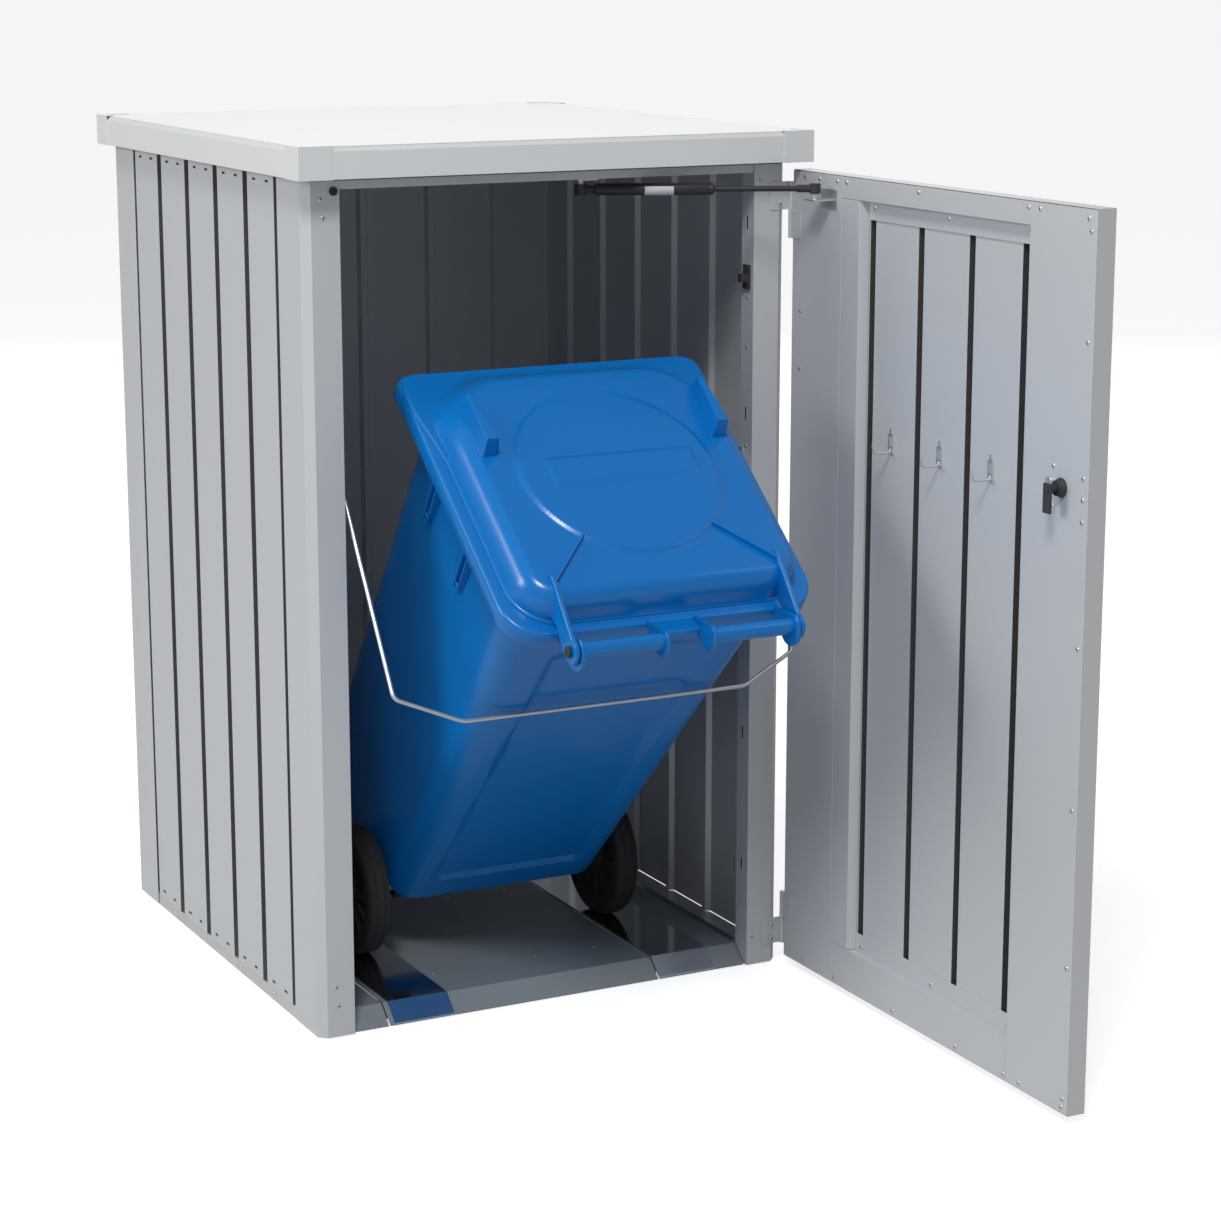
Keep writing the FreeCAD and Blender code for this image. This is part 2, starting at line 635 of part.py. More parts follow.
def make_lid():
    """The lid: a top sheet on four folded rims, with a cast cap on each corner."""
    half_x, half_y = V["lid_width"] / 2, V["lid_depth"] / 2
    proud = V["corner_proud"]
    miter = V["rim_flange"] + proud + V["fit_gap"]
    ends = half_x - miter
    for label, sign in (("front", -1), ("rear", 1)):
        points = [(out * sign, up) for out, up in rim_profile(half_y)]
        keep(f"lid_rim_{label}", prism("YZ_Plane", -ends, ends * 2, points))
    sides = half_y - proud
    for label, sign in (("left", -1), ("right", 1)):
        points = [(out * sign, up) for out, up in rim_profile(half_x)]
        keep(f"lid_rim_{label}", prism("XZ_Plane", -sides, sides * 2, points))
    top = V["total_height"] - proud
    inset = proud + V["rim_bevel"]
    keep("lid_sheet", box(inset - half_x, half_x - inset, inset - half_y, half_y - inset,
                          top - V["post_gauge"], top))
    caps = []
    for sign_x in (-1, 1):
        for sign_y in (-1, 1):
            caps.append(corner_cap(half_x, half_y, sign_x, sign_y))
    keep("lid_corners", together(*caps))


def corner_cap(half_x, half_y, sign_x, sign_y):
    """A cap that wraps one corner of the rim, open inside and under the sheet."""
    size, proud, low, top = V["corner_size"], V["corner_proud"], RIM_BOTTOM, V["total_height"]

    def corner_box(out_x, out_y, in_x, in_y, z_from, z_to):
        xs = sorted((out_x * sign_x, in_x * sign_x), key=lambda item: item.value)
        ys = sorted((out_y * sign_y, in_y * sign_y), key=lambda item: item.value)
        return box(xs[0], xs[1], ys[0], ys[1], z_from, z_to)

    outer = corner_box(half_x, half_y, half_x - size, half_y - size, low, top)
    inner = corner_box(half_x - proud, half_y - proud, half_x - size - 1, half_y - size - 1,
                       low - 1, top - proud)
    border = V["rim_bevel"] * 2
    window = corner_box(half_x - border, half_y - border, half_x - size - 1, half_y - size - 1, low, top + 1)
    return cut(outer, inner, window)


# ---------------------------------------------------------------- door

def door_x(depth):
    """A place through the open door: 0 at its inner face."""
    return HINGE_X + depth


def door_y(along):
    """A place along the open door, measured from the hinge axis."""
    return HINGE_Y - along


def door_rect(depth_from, depth_to, along_from, along_to):
    """A rectangle in the door's plan."""
    return [(door_x(depth_from), door_y(along_from)), (door_x(depth_to), door_y(along_from)),
            (door_x(depth_to), door_y(along_to)), (door_x(depth_from), door_y(along_to))]


def door_rib(depth, rise, centre, grow):
    """A trapezoid rib in the door's plan, from a depth towards rise."""
    mouth, floor = V["rib_mouth"] / 2 - 2 + grow, V["rib_floor"] / 2 + grow
    tip = depth + rise
    return [(door_x(depth), door_y(centre - mouth)), (door_x(depth), door_y(centre + mouth)),
            (door_x(tip), door_y(centre + floor)), (door_x(tip), door_y(centre - floor))]


def lock_hole():
    """The clearance hole for the lock's spindle, right through the door."""
    start = (door_x(-1), door_y(LOCK_ALONG), V["lock_z"])
    return rod("x", start, V["lock_spindle"] + 1.5, V["door_thickness"] + 2)


def make_door_skin():
    """The outer tray of the door, with shallow grooves that line up with the infill's ribs."""
    body = new_body()
    low, high = V["door_bottom"], V["door_top"]
    start, end, gauge = V["door_start"], V["door_length"], V["skin_gauge"]
    deep, lip = V["door_thickness"], V["frame_gauge"] + 0.1
    tray = [(door_x(lip), door_y(start)), (door_x(deep), door_y(start)), (door_x(deep), door_y(end)),
            (door_x(lip), door_y(end)), (door_x(lip), door_y(end - gauge)),
            (door_x(deep - gauge), door_y(end - gauge)), (door_x(deep - gauge), door_y(start + gauge)),
            (door_x(lip), door_y(start + gauge))]
    pad(body, outline(body, "XY_Plane", low, tray), high - low)
    for level in (low, high - gauge):
        pad(body, outline(body, "XY_Plane", level, door_rect(lip, deep, start, end)), gauge)
    first, rise = V["infill_rib_first"], V["skin_rib_depth"]
    for index in range(DOOR_RIBS):
        place_along = first + DOOR_RIB_PITCH * index
        pad(body, outline(body, "XY_Plane", low,
                          door_rib(deep - gauge / 2, -rise - gauge / 2, place_along, gauge)), high - low)
        pocket(body, outline(body, "XY_Plane", low, door_rib(deep, -rise, place_along, 0)), high - low)
    keep("door_skin", cut(body, lock_hole()))


def make_door_frame():
    """Stiles, jamb and rails of folded sheet on the inner side of the door."""
    low, high, gauge = V["door_bottom"], V["door_top"], V["frame_gauge"]
    recess, back = V["recess"], V["door_thickness"] - V["skin_gauge"] - V["fit_gap"]
    hinge_in, lock_in = V["stile_hinge"], STILE_LOCK
    start, end = V["door_start"], V["door_length"]
    web = V["skin_gauge"] + V["fit_gap"]
    height = high - low - 2 * web
    keep("door_hinge_stile", prism("XY_Plane", low + web, height, [
        (door_x(0), door_y(start)), (door_x(gauge), door_y(start)), (door_x(gauge), door_y(hinge_in - gauge)),
        (door_x(back), door_y(hinge_in - gauge)), (door_x(back), door_y(hinge_in)),
        (door_x(0), door_y(hinge_in))]))
    lock_stile = prism("XY_Plane", low + web, height, [
        (door_x(0), door_y(end)), (door_x(0), door_y(lock_in)), (door_x(back), door_y(lock_in)),
        (door_x(back), door_y(lock_in + gauge)), (door_x(gauge), door_y(lock_in + gauge)),
        (door_x(gauge), door_y(end))])
    keep("door_lock_stile", cut(lock_stile, lock_hole()))
    gap = V["fit_gap"]
    rail_start, rail_end = hinge_in + gap, lock_in - gap
    top_low, bottom_high = high - V["rail_top_face"], low + V["rail_bottom_face"]
    top_points = [(door_x(0), high - web), (door_x(gauge), high - web), (door_x(gauge), top_low + gauge),
                  (door_x(recess - gap), top_low + gauge), (door_x(recess - gap), top_low), (door_x(0), top_low)]
    bottom_points = [(door_x(0), low + web), (door_x(gauge), low + web), (door_x(gauge), bottom_high - gauge),
                     (door_x(recess - gap), bottom_high - gauge), (door_x(recess - gap), bottom_high),
                     (door_x(0), bottom_high)]
    for label, points in (("top", top_points), ("bottom", bottom_points)):
        keep(f"door_{label}_rail", prism("XZ_Plane", -door_y(rail_start), rail_end - rail_start, points))
    face, slope = V["jamb_face"], V["jamb_slope"]
    bend, foot = rail_start + face, rail_start + face + slope
    keep("door_jamb", prism("XY_Plane", bottom_high + gap, top_low - bottom_high - 2 * gap, [
        (door_x(0), door_y(rail_start)), (door_x(0), door_y(bend)),
        (door_x(recess - gap), door_y(foot)), (door_x(recess - gap), door_y(foot - gauge * 1.6)),
        (door_x(gauge), door_y(bend - 0.4)), (door_x(gauge), door_y(rail_start))]))
    keep("door_infill", door_infill(bottom_high, top_low, rail_start, rail_end))


def door_infill(bottom_high, top_low, rail_start, rail_end):
    """The recessed ribbed sheet inside the door's frame."""
    body = new_body()
    low, height = bottom_high - 10, top_low - bottom_high + 20
    recess, gauge = V["recess"], V["skin_gauge"]
    start, end = rail_start + 4, rail_end - 1
    pad(body, outline(body, "XY_Plane", low, door_rect(recess, recess + gauge, start, end)), height)
    depth = V["rib_depth"] - 1
    rib = pad(body, outline(body, "XY_Plane", low, door_rib(recess, depth + gauge, V["infill_rib_first"],
                                                            gauge)), height)
    row_of(body, rib, "Y_Axis", DOOR_RIB_PITCH, DOOR_RIBS, backward=True)
    groove = pocket(body, outline(body, "XY_Plane", low, door_rib(recess, depth, V["infill_rib_first"], 0)),
                    height)
    row_of(body, groove, "Y_Axis", DOOR_RIB_PITCH, DOOR_RIBS, backward=True)
    return body


def make_hooks():
    """Three zinc tool hooks on the door's infill: a slotted plate and an upturned arm."""
    face, z = door_x(V["recess"]), V["hook_z"]
    half, half_plate = V["hook_width"] / 2, V["hook_plate_width"] / 2
    reach, gauge = V["hook_reach"], V["hook_gauge"]
    hooks = []
    for index in range(HOOKS):
        y = door_y(V["hook_first"] + DOOR_RIB_PITCH * index)
        plate = box(face - gauge / 2, face, y - half_plate, y + half_plate, z - gauge - 2, z + V["hook_plate_rise"])
        arm = box(face - reach, face - 1, y - half, y + half, z - gauge, z)
        tip = box(face - reach - gauge + 1, face - reach + 1, y - half, y + half, z - gauge, z + V["hook_tip"])
        hooks.append(fuse(plate, arm, tip))
    keep("door_hooks", together(*hooks))


def make_lock():
    """The door lock: a case inside, a zinc cam on its spindle, and a round grip outside."""
    y, z = door_y(LOCK_ALONG), V["lock_z"]
    inner, outer = door_x(0), door_x(V["door_thickness"])
    depth, half, tall = V["case_depth"], V["case_width"] / 2, V["case_height"] / 2
    case = box(inner - depth, inner, y - half, y + half, z - tall, z + tall)
    spindle_radius, reach = V["lock_spindle"], V["spindle_reach"]
    bore = rod("x", (inner - depth - 1, y, z), spindle_radius + V["pin_clearance"], depth + 2)
    keep("lock_case", cut(case, bore))
    spindle = rod("x", (inner - reach, y, z), spindle_radius, V["door_thickness"] + reach + 2)
    cam_end, half_cam = reach - 1, V["cam_width"] / 2
    cam = box(inner - cam_end, inner - cam_end + V["cam_gauge"], y - half_cam, y + half_cam,
              z - V["cam_drop"], z + V["cam_rise"])
    keep("lock_cam", fuse(spindle, cam))
    keep("lock_grip", grip_on(outer, y, z))


def grip_on(outer, y, z):
    """A round rose with a cross bar to turn."""
    socket_radius = V["lock_spindle"] + 0.1
    radius, half_bar, half_width = V["grip_radius"], V["grip_bar"] / 2, V["grip_bar_width"] / 2
    rose = rod("x", (outer + V["fit_gap"], y, z), radius, 6)
    neck = rod("x", (outer + 5, y, z), radius - 5, 4)
    bar = box(outer + 7, outer + V["grip_reach"], y - half_width, y + half_width, z - half_bar, z + half_bar)
    return cut(fuse(rose, neck, bar), rod("x", (outer - 1, y, z), socket_radius, 4))


def make_strut():
    """The gas strut between the front rail and the door, and the stud that it pushes on."""
    px, py, z = V["strut_x"], V["strut_y"], V["strut_z"]
    ball_x, ball_y = door_x(0) - V["ball_inset"], door_y(V["ball_along"])
    reach_x, reach_y = (ball_x - px).value, (ball_y - py).value
    span = Size(f"sqrt(pow({(ball_x - px).text}; 2) + pow({(ball_y - py).text}; 2))",
                math.hypot(reach_x, reach_y))
    angle = Size(f"atan2({(ball_y - py).text}; {(ball_x - px).text}) / 1 deg",
                 math.degrees(math.atan2(reach_y, reach_x)))
    radius = V["strut_radius"]
    neck = radius * 0.8
    eye = fuse(tube("z", (0, 0, -radius), radius, V["stud_radius"] - 1 + V["pin_clearance"], radius * 2 - 1),
               rod("x", (neck, 0, 0), radius * 0.6, V["eye_length"]))
    barrel = rod("x", (neck + V["eye_length"], 0, 0), radius, V["cylinder_length"])
    bore = rod("x", (neck + V["eye_length"] * 2, 0, 0), V["rod_radius"] + V["pin_clearance"],
               V["cylinder_length"])
    piston = rod("x", (V["rod_inner"], 0, 0), V["rod_radius"], span - V["rod_inner"] - 12)
    top, low = V["socket_height"] / 2, -V["socket_height"] / 2
    start = span - V["socket_neck"]
    sleeve = rod("x", (start, 0, 0), V["socket_neck_radius"], V["socket_neck"] - 6)
    socket = cut(fuse(rod("z", (span, 0, low), V["socket_radius"], top - low), sleeve),
                 rod("x", (start, 0, 0), V["rod_radius"], V["socket_neck"] - 12))
    parts = {"strut_eye": eye, "strut_cylinder": cut(barrel, bore), "strut_rod": piston, "strut_socket": socket}
    for label, obj in parts.items():
        keep(label, swung(obj, px, py, z, angle))
    stud_top = z + low - V["fit_gap"]
    shelf = stud_top - 8
    half, half_tall, half_arm = V["ball_plate_half"], V["ball_plate_height"] / 2, V["ball_arm_half"]
    plate = box(door_x(0) - 2, door_x(0), ball_y - half, ball_y + half, shelf - half_tall, shelf + half_tall)
    arm = box(ball_x - 9, door_x(0), ball_y - half_arm, ball_y + half_arm, shelf - 2, shelf)
    stud = rod("z", (ball_x, ball_y, shelf - 1), V["stud_radius"], stud_top - shelf + 1)
    keep("door_strut_bracket", fuse(plate, arm, stud))


def swung(obj, x, y, z, angle):
    """A piece of the strut turned about Z at the strut's pivot."""
    turned_piece = together(obj)
    place(turned_piece, x, y, z, rotation=FreeCAD.Rotation(FreeCAD.Vector(0, 0, 1), angle.value))
    turned_piece.setExpression("Placement.Rotation.Angle", angle.text)
    return turned_piece


def make_door_screws():
    """Pan heads along the frame of the door, on the lock case and on the door's hinge leaves."""
    face = door_x(0)
    spots = []
    for z in (V["door_bottom"] + 14, V["door_bottom"] + 150, 480, 660, 850, 1010, V["door_top"] - 14):
        spots.append((V["door_length"] - 9, as_size(z)))
    for along in (40, 110, 200, 300, 400, 500, 600):
        spots.append((as_size(along), V["door_top"] - 10))
    for along in (60, 175, 325, 475, 600):
        spots.append((as_size(along), V["door_bottom"] + 10))
    heads = [head_screw("x", (face, door_y(along), z), -1) for along, z in spots]
    leaf, gap = V["leaf_height"], V["leaf_gap"]
    for top in (V["upper_hinge_top"] - leaf - gap, V["lower_hinge_top"]):
        for z in (top - 9, top - leaf + 9):
            heads.append(head_screw("x", (face - V["leaf_gauge"], door_y(V["leaf_width"] / 2 + 3), z), -1))
    keep("door_screws", together(*heads))


# ---------------------------------------------------------------- bail

def make_bail():
    """A bent wire that hangs between the posts and holds the leaning bin."""
    lean = V["bail_lean"]
    down_y, down_z = -sine(lean), -cosine(lean)
    path = []
    for x, drop in ((BAIL_ARM_X + 14, 0), (BAIL_ARM_X, 0), (BAIL_ARM_X, V["bail_bend_drop"]),
                    (V["bail_bend_x"], V["bail_drop"])):
        drop = as_size(drop)
        path.append(FreeCAD.Vector(x.value, (V["bail_pivot_y"] + down_y * drop).value,
                                   (V["bail_pivot_z"] + down_z * drop).value))
    mirrored = [FreeCAD.Vector(-point.x, point.y, point.z) for point in reversed(path)]
    wire = DOC.addObject("Part::Feature", "Wire")
    wire.Shape = round_wire(path + mirrored, V["bail_wire"].value)
    keep("bail_wire", wire)


def round_wire(points, radius):
    """A round bar along straight runs, with a bend of three radii at each corner."""
    edges = []
    start = points[0]
    for before, corner, after in zip(points, points[1:], points[2:]):
        back = (before - corner).normalize()
        ahead = (after - corner).normalize()
        trim = min(radius * 3, (after - corner).Length * 0.45, (before - corner).Length * 0.45)
        enter, leave = corner + back * trim, corner + ahead * trim
        half_turn = math.acos(max(-1, min(1, back.dot(ahead)))) / 2
        bisector = (back + ahead).normalize()
        bend_radius = trim * math.tan(half_turn)
        middle = corner + bisector * (bend_radius / math.sin(half_turn) - bend_radius)
        edges.append(Part.makeLine(start, enter))
        edges.append(Part.Arc(enter, middle, leave).toShape())
        start = leave
    edges.append(Part.makeLine(start, points[-1]))
    path = Part.Wire(edges)
    section = Part.Wire(Part.makeCircle(radius, points[0], points[1] - points[0]))
    return path.makePipeShell([section], True, False)


# ---------------------------------------------------------------- bin

def bin_place(obj):
    """Put a piece modelled upright about the axle into its leaning place."""
    tilt = FreeCAD.Rotation(FreeCAD.Vector(1, 0, 0), V["bin_tilt"].value)
    place(obj, 0, V["axle_y"], AXLE_Z, rotation=tilt)
    obj.setExpression("Placement.Rotation.Angle", V["bin_tilt"].text)
    return obj


def cornered(half, back, front, corner):
    """A rectangle with cut corners, as (x, y)."""
    return [(-half + corner, back), (half - corner, back), (half, back + corner), (half, front - corner),
            (half - corner, front), (-half + corner, front), (-half, front - corner), (-half, back + corner)]


def sloped(obj, y, z):
    """Lean a piece of the rim or lid so that it falls towards the far side."""
    leaning = together(obj)
    slope = -V["bin_rim_slope"]
    place(leaning, 0, y, z, rotation=FreeCAD.Rotation(FreeCAD.Vector(1, 0, 0), slope.value))
    leaning.setExpression("Placement.Rotation.Angle", slope.text)
    return leaning


def bin_shell(wall):
    """The bin's tapered trunk, shrunk by a wall."""
    low, high = V["bin_foot"] + wall, V["bin_rim_z"] + 77
    corner = V["bin_corner"]
    taper_back, taper_front = V["bin_back_top"] - V["bin_back"], V["bin_front_top"] - V["bin_front_foot"]
    foot = cornered(V["bin_foot_half"] - wall, V["bin_back"] + wall, V["bin_front_foot"] - wall, corner)
    top = cornered(V["bin_top_half"] - wall, V["bin_back"] + wall + taper_back,
                   V["bin_front_foot"] - wall + taper_front, corner)
    step = box(-300, 300, -100, V["bin_step_depth"] + V["bin_back"] + wall, V["bin_foot"] - 50, V["bin_step"] + wall)
    return cut(frustum(low, foot, high, top), step)


def make_bin():
    """The bin: trunk, rim and handle moulded as one, with an axle under its back edge."""
    wall = V["bin_wall"]
    slot_top = sloped(box(-400, 400, -400, 900, 0, 600), V["bin_back_top"], V["bin_rim_z"])
    trunk = cut(bin_shell(as_size(0)), slot_top)
    rim_half, out = V["bin_rim_half"], V["bin_rim_out"]
    depth = V["bin_front_top"] - V["bin_back_top"]
    near = V["bin_rim_near"]
    skirt = cut(box(-rim_half, rim_half, -near, depth + out, -V["bin_rim_depth"], 0),
                box(wall - rim_half, rim_half - wall, wall - near, depth + out - wall,
                    -V["bin_rim_depth"], -wall))
    rim = sloped(skirt, V["bin_back_top"], V["bin_rim_z"])
    plates, bars = handle_parts()
    outside = fuse(trunk, rim, *plates)
    solid = cut(outside, bin_shell(wall))
    keep("bin_body", bin_place(fuse(solid, *bars)))
    half_length = V["wheel_x"] + V["wheel_width"] + 6
    keep("bin_axle", rod("x", (-half_length, V["axle_y"], AXLE_Z), V["axle_radius"], half_length * 2))
    brackets = []
    half, half_depth = V["bracket_width"] / 2, V["bracket_depth"] / 2
    for sign in (-1, 1):
        x = V["bracket_x"] * sign
        block = box(x - half, x + half, -half_depth, half_depth, -V["bracket_drop"], V["bin_step"])
        brackets.append(cut(block, rod("x", (x - half - 1, 0, 0), V["axle_radius"] + 0.1, V["bracket_width"] + 2)))
    keep("bin_axle_brackets", bin_place(together(*brackets)))


def handle_parts():
    """Four moulded plates and two round bars behind the rim."""
    y, z, half, gauge = V["handle_y"], V["handle_z"], V["handle_half"], V["plate_gauge"]
    plates = []
    for x in (-half, -V["handle_gap_half"], V["handle_gap_half"] - gauge, half - gauge):
        plates.append(prism("YZ_Plane", x, gauge, [
            (y - 14, z - 10), (y + 4, z - 16), (V["bin_back_top"], V["bin_rim_z"] - 34),
            (V["bin_back_top"], V["bin_rim_z"] - 1), (V["bin_back_top"] - 26, V["bin_rim_z"] + 1),
            (y + 12, z + 12), (y - 10, z + 12)]))
    length = half - V["handle_gap_half"]
    bars = [rod("x", (-half, y, z), V["handle_radius"], length),
            rod("x", (V["handle_gap_half"], y, z), V["handle_radius"], length)]
    return plates, bars


def make_bin_lid():
    """The bin's domed lid with two long arms that turn on pins at the handle."""
    half, out, skirt = V["bin_rim_half"], V["bin_rim_near"] - V["lid_setback"], V["lid_skirt"]
    depth = V["bin_front_top"] - V["bin_back_top"]
    wall, gap = V["lid_wall"], V["lid_gap"]
    back, front = V["bin_back_top"], V["bin_rim_z"]
    end = depth + V["bin_rim_out"] + V["lid_end"]
    flange = sloped(box(-half, half, -out, end, gap, gap + skirt), back, front)
    inner = sloped(box(wall - half, half - wall, wall - out, end - wall, gap, gap + skirt - wall), back, front)
    inset, rise = V["dome_inset"], V["dome_rise"]
    foot, corner = inset - V["dome_foot"], V["dome_corner"]

    def dome(shrink):
        low = cornered(half - foot - shrink, shrink - out + foot, end - foot - shrink, corner)
        high = cornered(half - inset - shrink, shrink - out + inset, end - inset - shrink, corner)
        return sloped(frustum(gap + skirt - wall - 0.5, low, gap + skirt + rise - shrink, high), back, front)

    shell = cut(fuse(flange, dome(as_size(0))), inner, dome(as_size(wall)))
    y, z = V["handle_y"], V["handle_z"]
    arms = []
    for sign in (-1, 1):
        start = (V["handle_half"] + V["arm_gap"]) * sign
        low = start if sign > 0 else start - V["arm_gauge"]
        arm = prism("YZ_Plane", low, V["arm_gauge"], [
            (y - 12, z - 8), (y + 2, z - 14), (V["bin_back_top"] + 40, V["bin_rim_z"] + skirt - 12),
            (V["bin_back_top"] + 120, V["bin_rim_z"] + skirt - 12), (V["bin_back_top"] + 60, V["bin_rim_z"] + 52),
            (y + 6, z + 14), (y - 8, z + 12)])
        arms.append(arm)
    pin = V["lid_pin_radius"]
    pin_hole = rod("x", (-half, y, z), pin + V["pin_clearance"], half * 2)
    keep("bin_lid", bin_place(cut(fuse(shell, *arms), pin_hole)))
    pins = []
    for sign in (-1, 1):
        start, long, head_at = V["handle_half"] * sign, V["pin_shank"], V["pin_shank"] - 1
        shank = rod("x", (start if sign > 0 else start - long, y, z), pin, long)
        head = rod("x", (start + head_at if sign > 0 else start - head_at - V["pin_head"], y, z),
                   V["pin_head_radius"], V["pin_head"])
        pins.append(fuse(shank, head))
    keep("bin_lid_pins", bin_place(together(*pins)))


def make_wheels():
    """Two spoked-disc hubs with solid rubber tyres on the axle."""
    width, radius, hub = V["wheel_width"], V["wheel_radius"], V["wheel_radius"] - V["tyre_height"]
    for side, sign in MIRROR.items():
        start = V["wheel_x"] if sign > 0 else -V["wheel_x"] - width
        place_at = (start, V["axle_y"], AXLE_Z)
        bevel = 5
        keep(f"wheel_tyre_{side}", turned("x", [
            (hub, 2), (hub + bevel, 0), (radius - bevel, 0), (radius, bevel), (radius, width - bevel),
            (radius - bevel, width), (hub + bevel, width), (hub, width - 2)], place_at))
        bore = V["axle_radius"] + V["pin_clearance"]
        keep(f"wheel_hub_{side}", turned("x", [
            (bore, 0), (24, 0), (24, 12), (hub - 10, 12), (hub - 10, 3), (hub, 3), (hub, width - 3),
            (hub - 10, width - 3), (hub - 10, 20), (24, 20), (24, width), (bore, width)], place_at))


# ---------------------------------------------------------------- build, check, export

def export():
    """Recompute, stop on any failed object, and write one STEP file for each node."""
    DOC.recompute()
    for obj in DOC.Objects:
        if "Invalid" in obj.State or "Error" in obj.State:
            raise SystemExit(f"{obj.Label} failed: {obj.State}")
    os.makedirs("parts", exist_ok=True)
    for obj in NODES:
        if obj.Shape.isNull() or not obj.Shape.isValid():
            raise SystemExit(f"{obj.Label} has no valid shape")
    for obj in NODES:
        obj.Shape.exportStep(f"parts/{obj.Label}.step")
        print(f"{obj.Label}: {obj.Shape.Volume / 1000:.1f} cm3, {len(obj.Shape.Solids)} solid(s)")
    print(len(NODES), "nodes")


make_base()
make_floor()
make_posts()
make_walls()
make_top_rails()
make_hinges()
make_lid_hinges()
make_small_cabinet_parts()
make_cabinet_screws()
make_lid()
make_door_skin()
make_door_frame()
make_hooks()
make_lock()
make_strut()
make_door_screws()
make_bail()
make_bin()
make_bin_lid()
make_wheels()
export()
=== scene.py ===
"""Looks of a steel cabinet that holds one wheeled bin.

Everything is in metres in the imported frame: +X to the right, +Y to the back and +Z up.  The bin's
own pieces are drawn upright about their axle, as (x, a, b), and leaned afterwards.
"""
from __future__ import annotations

import json
import logging
import math
from dataclasses import dataclass
from enum import Enum
from typing import Callable, Iterable, Sequence

import bmesh
import bpy
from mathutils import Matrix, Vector


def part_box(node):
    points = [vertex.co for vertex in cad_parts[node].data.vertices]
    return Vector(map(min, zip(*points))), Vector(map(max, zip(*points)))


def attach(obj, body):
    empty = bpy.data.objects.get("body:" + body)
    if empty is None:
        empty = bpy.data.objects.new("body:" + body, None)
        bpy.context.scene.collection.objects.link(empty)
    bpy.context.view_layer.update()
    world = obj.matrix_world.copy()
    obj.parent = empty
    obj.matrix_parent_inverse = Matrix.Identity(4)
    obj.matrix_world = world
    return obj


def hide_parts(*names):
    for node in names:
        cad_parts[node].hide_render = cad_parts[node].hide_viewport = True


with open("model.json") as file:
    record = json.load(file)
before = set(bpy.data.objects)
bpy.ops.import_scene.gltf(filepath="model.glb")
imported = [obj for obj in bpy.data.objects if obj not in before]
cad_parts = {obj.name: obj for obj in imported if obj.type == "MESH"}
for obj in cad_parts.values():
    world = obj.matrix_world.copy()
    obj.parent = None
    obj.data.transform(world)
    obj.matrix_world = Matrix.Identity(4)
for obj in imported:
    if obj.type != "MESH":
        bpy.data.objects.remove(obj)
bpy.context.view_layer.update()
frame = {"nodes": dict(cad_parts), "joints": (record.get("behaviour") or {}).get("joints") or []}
LOG = logging.getLogger("bin_cabinet")

Point = tuple[float, float]
Colour = tuple[float, float, float]
MM = 0.001
MERGE = 0.001 * MM
BEVEL_ANGLE = math.radians(30.0)
FLAT_ANGLE = math.radians(0.6)
GROOVE_START = 0.4 * MM
GROOVE_END = 9 * MM


# ------------------------------------------------------------------ node trees

class Tree:
    """A node tree of either kind, filled one node at a time."""

    def __init__(self, nodes: bpy.types.NodeTree) -> None:
        """Keep the tree.

        Args:
            nodes: the shader or geometry tree to fill.
        """
        self.nodes = nodes

    def node(self, kind: str, settings: dict[str, object] | None = None,
             inputs: dict[str, object] | None = None) -> bpy.types.Node:
        """Add a node, set its settings and then its inputs.

        Args:
            kind: the node's type name.
            settings: attributes of the node, set before its inputs.
            inputs: values, sockets or signals by socket name or identifier.

        Returns:
            The new node.
        """
        made = self.nodes.nodes.new(kind)
        for name, value in (settings or {}).items():
            setattr(made, name, value)
        for name, value in (inputs or {}).items():
            self.feed(self.socket(made.inputs, name), value)
        return made

    @staticmethod
    def socket(sockets: Iterable[bpy.types.NodeSocket], name: str) -> bpy.types.NodeSocket:
        """Return the socket with that identifier, or else that name."""
        found = [one for one in sockets if one.identifier == name]
        return (found or [one for one in sockets if one.name == name and one.enabled])[0]

    def feed(self, socket: bpy.types.NodeSocket, value: object) -> None:
        """Link or set one input.

        Args:
            socket: the input.
            value: a Signal, a socket to link, or a plain value.
        """
        if isinstance(value, Signal):
            value = value.socket
        if isinstance(value, bpy.types.NodeSocket):
            self.nodes.links.new(value, socket)
        else:
            socket.default_value = value


class Signal:
    """A number in a shader tree whose arithmetic adds Math nodes."""

    def __init__(self, tree: Tree, socket: bpy.types.NodeSocket) -> None:
        """Wrap one output socket of a tree."""
        self.tree = tree
        self.socket = socket

    def _math(self, operation: str, first: object, second: object) -> Signal:
        """Add one Math node.

        Args:
            operation: what the node does.
            first: a number or a signal.
            second: a number or a signal.

        Returns:
            The node's result.
        """
        made = self.tree.node("ShaderNodeMath", {"operation": operation})
        self.tree.feed(made.inputs[0], first)
        self.tree.feed(made.inputs[1], second)
        return Signal(self.tree, made.outputs[0])

    def __add__(self, other: object) -> Signal:
        """Return self + other."""
        return self._math("ADD", self, other)

    __radd__ = __add__

    def __sub__(self, other: object) -> Signal:
        """Return self - other."""
        return self._math("SUBTRACT", self, other)

    def __rsub__(self, other: object) -> Signal:
        """Return other - self."""
        return self._math("SUBTRACT", other, self)

    def __mul__(self, other: object) -> Signal:
        """Return self * other."""
        return self._math("MULTIPLY", self, other)

    __rmul__ = __mul__

    def clamped(self, low: float, high: float) -> Signal:
        """Return self held between two limits."""
        return self._math("MINIMUM", self._math("MAXIMUM", self, low), high)


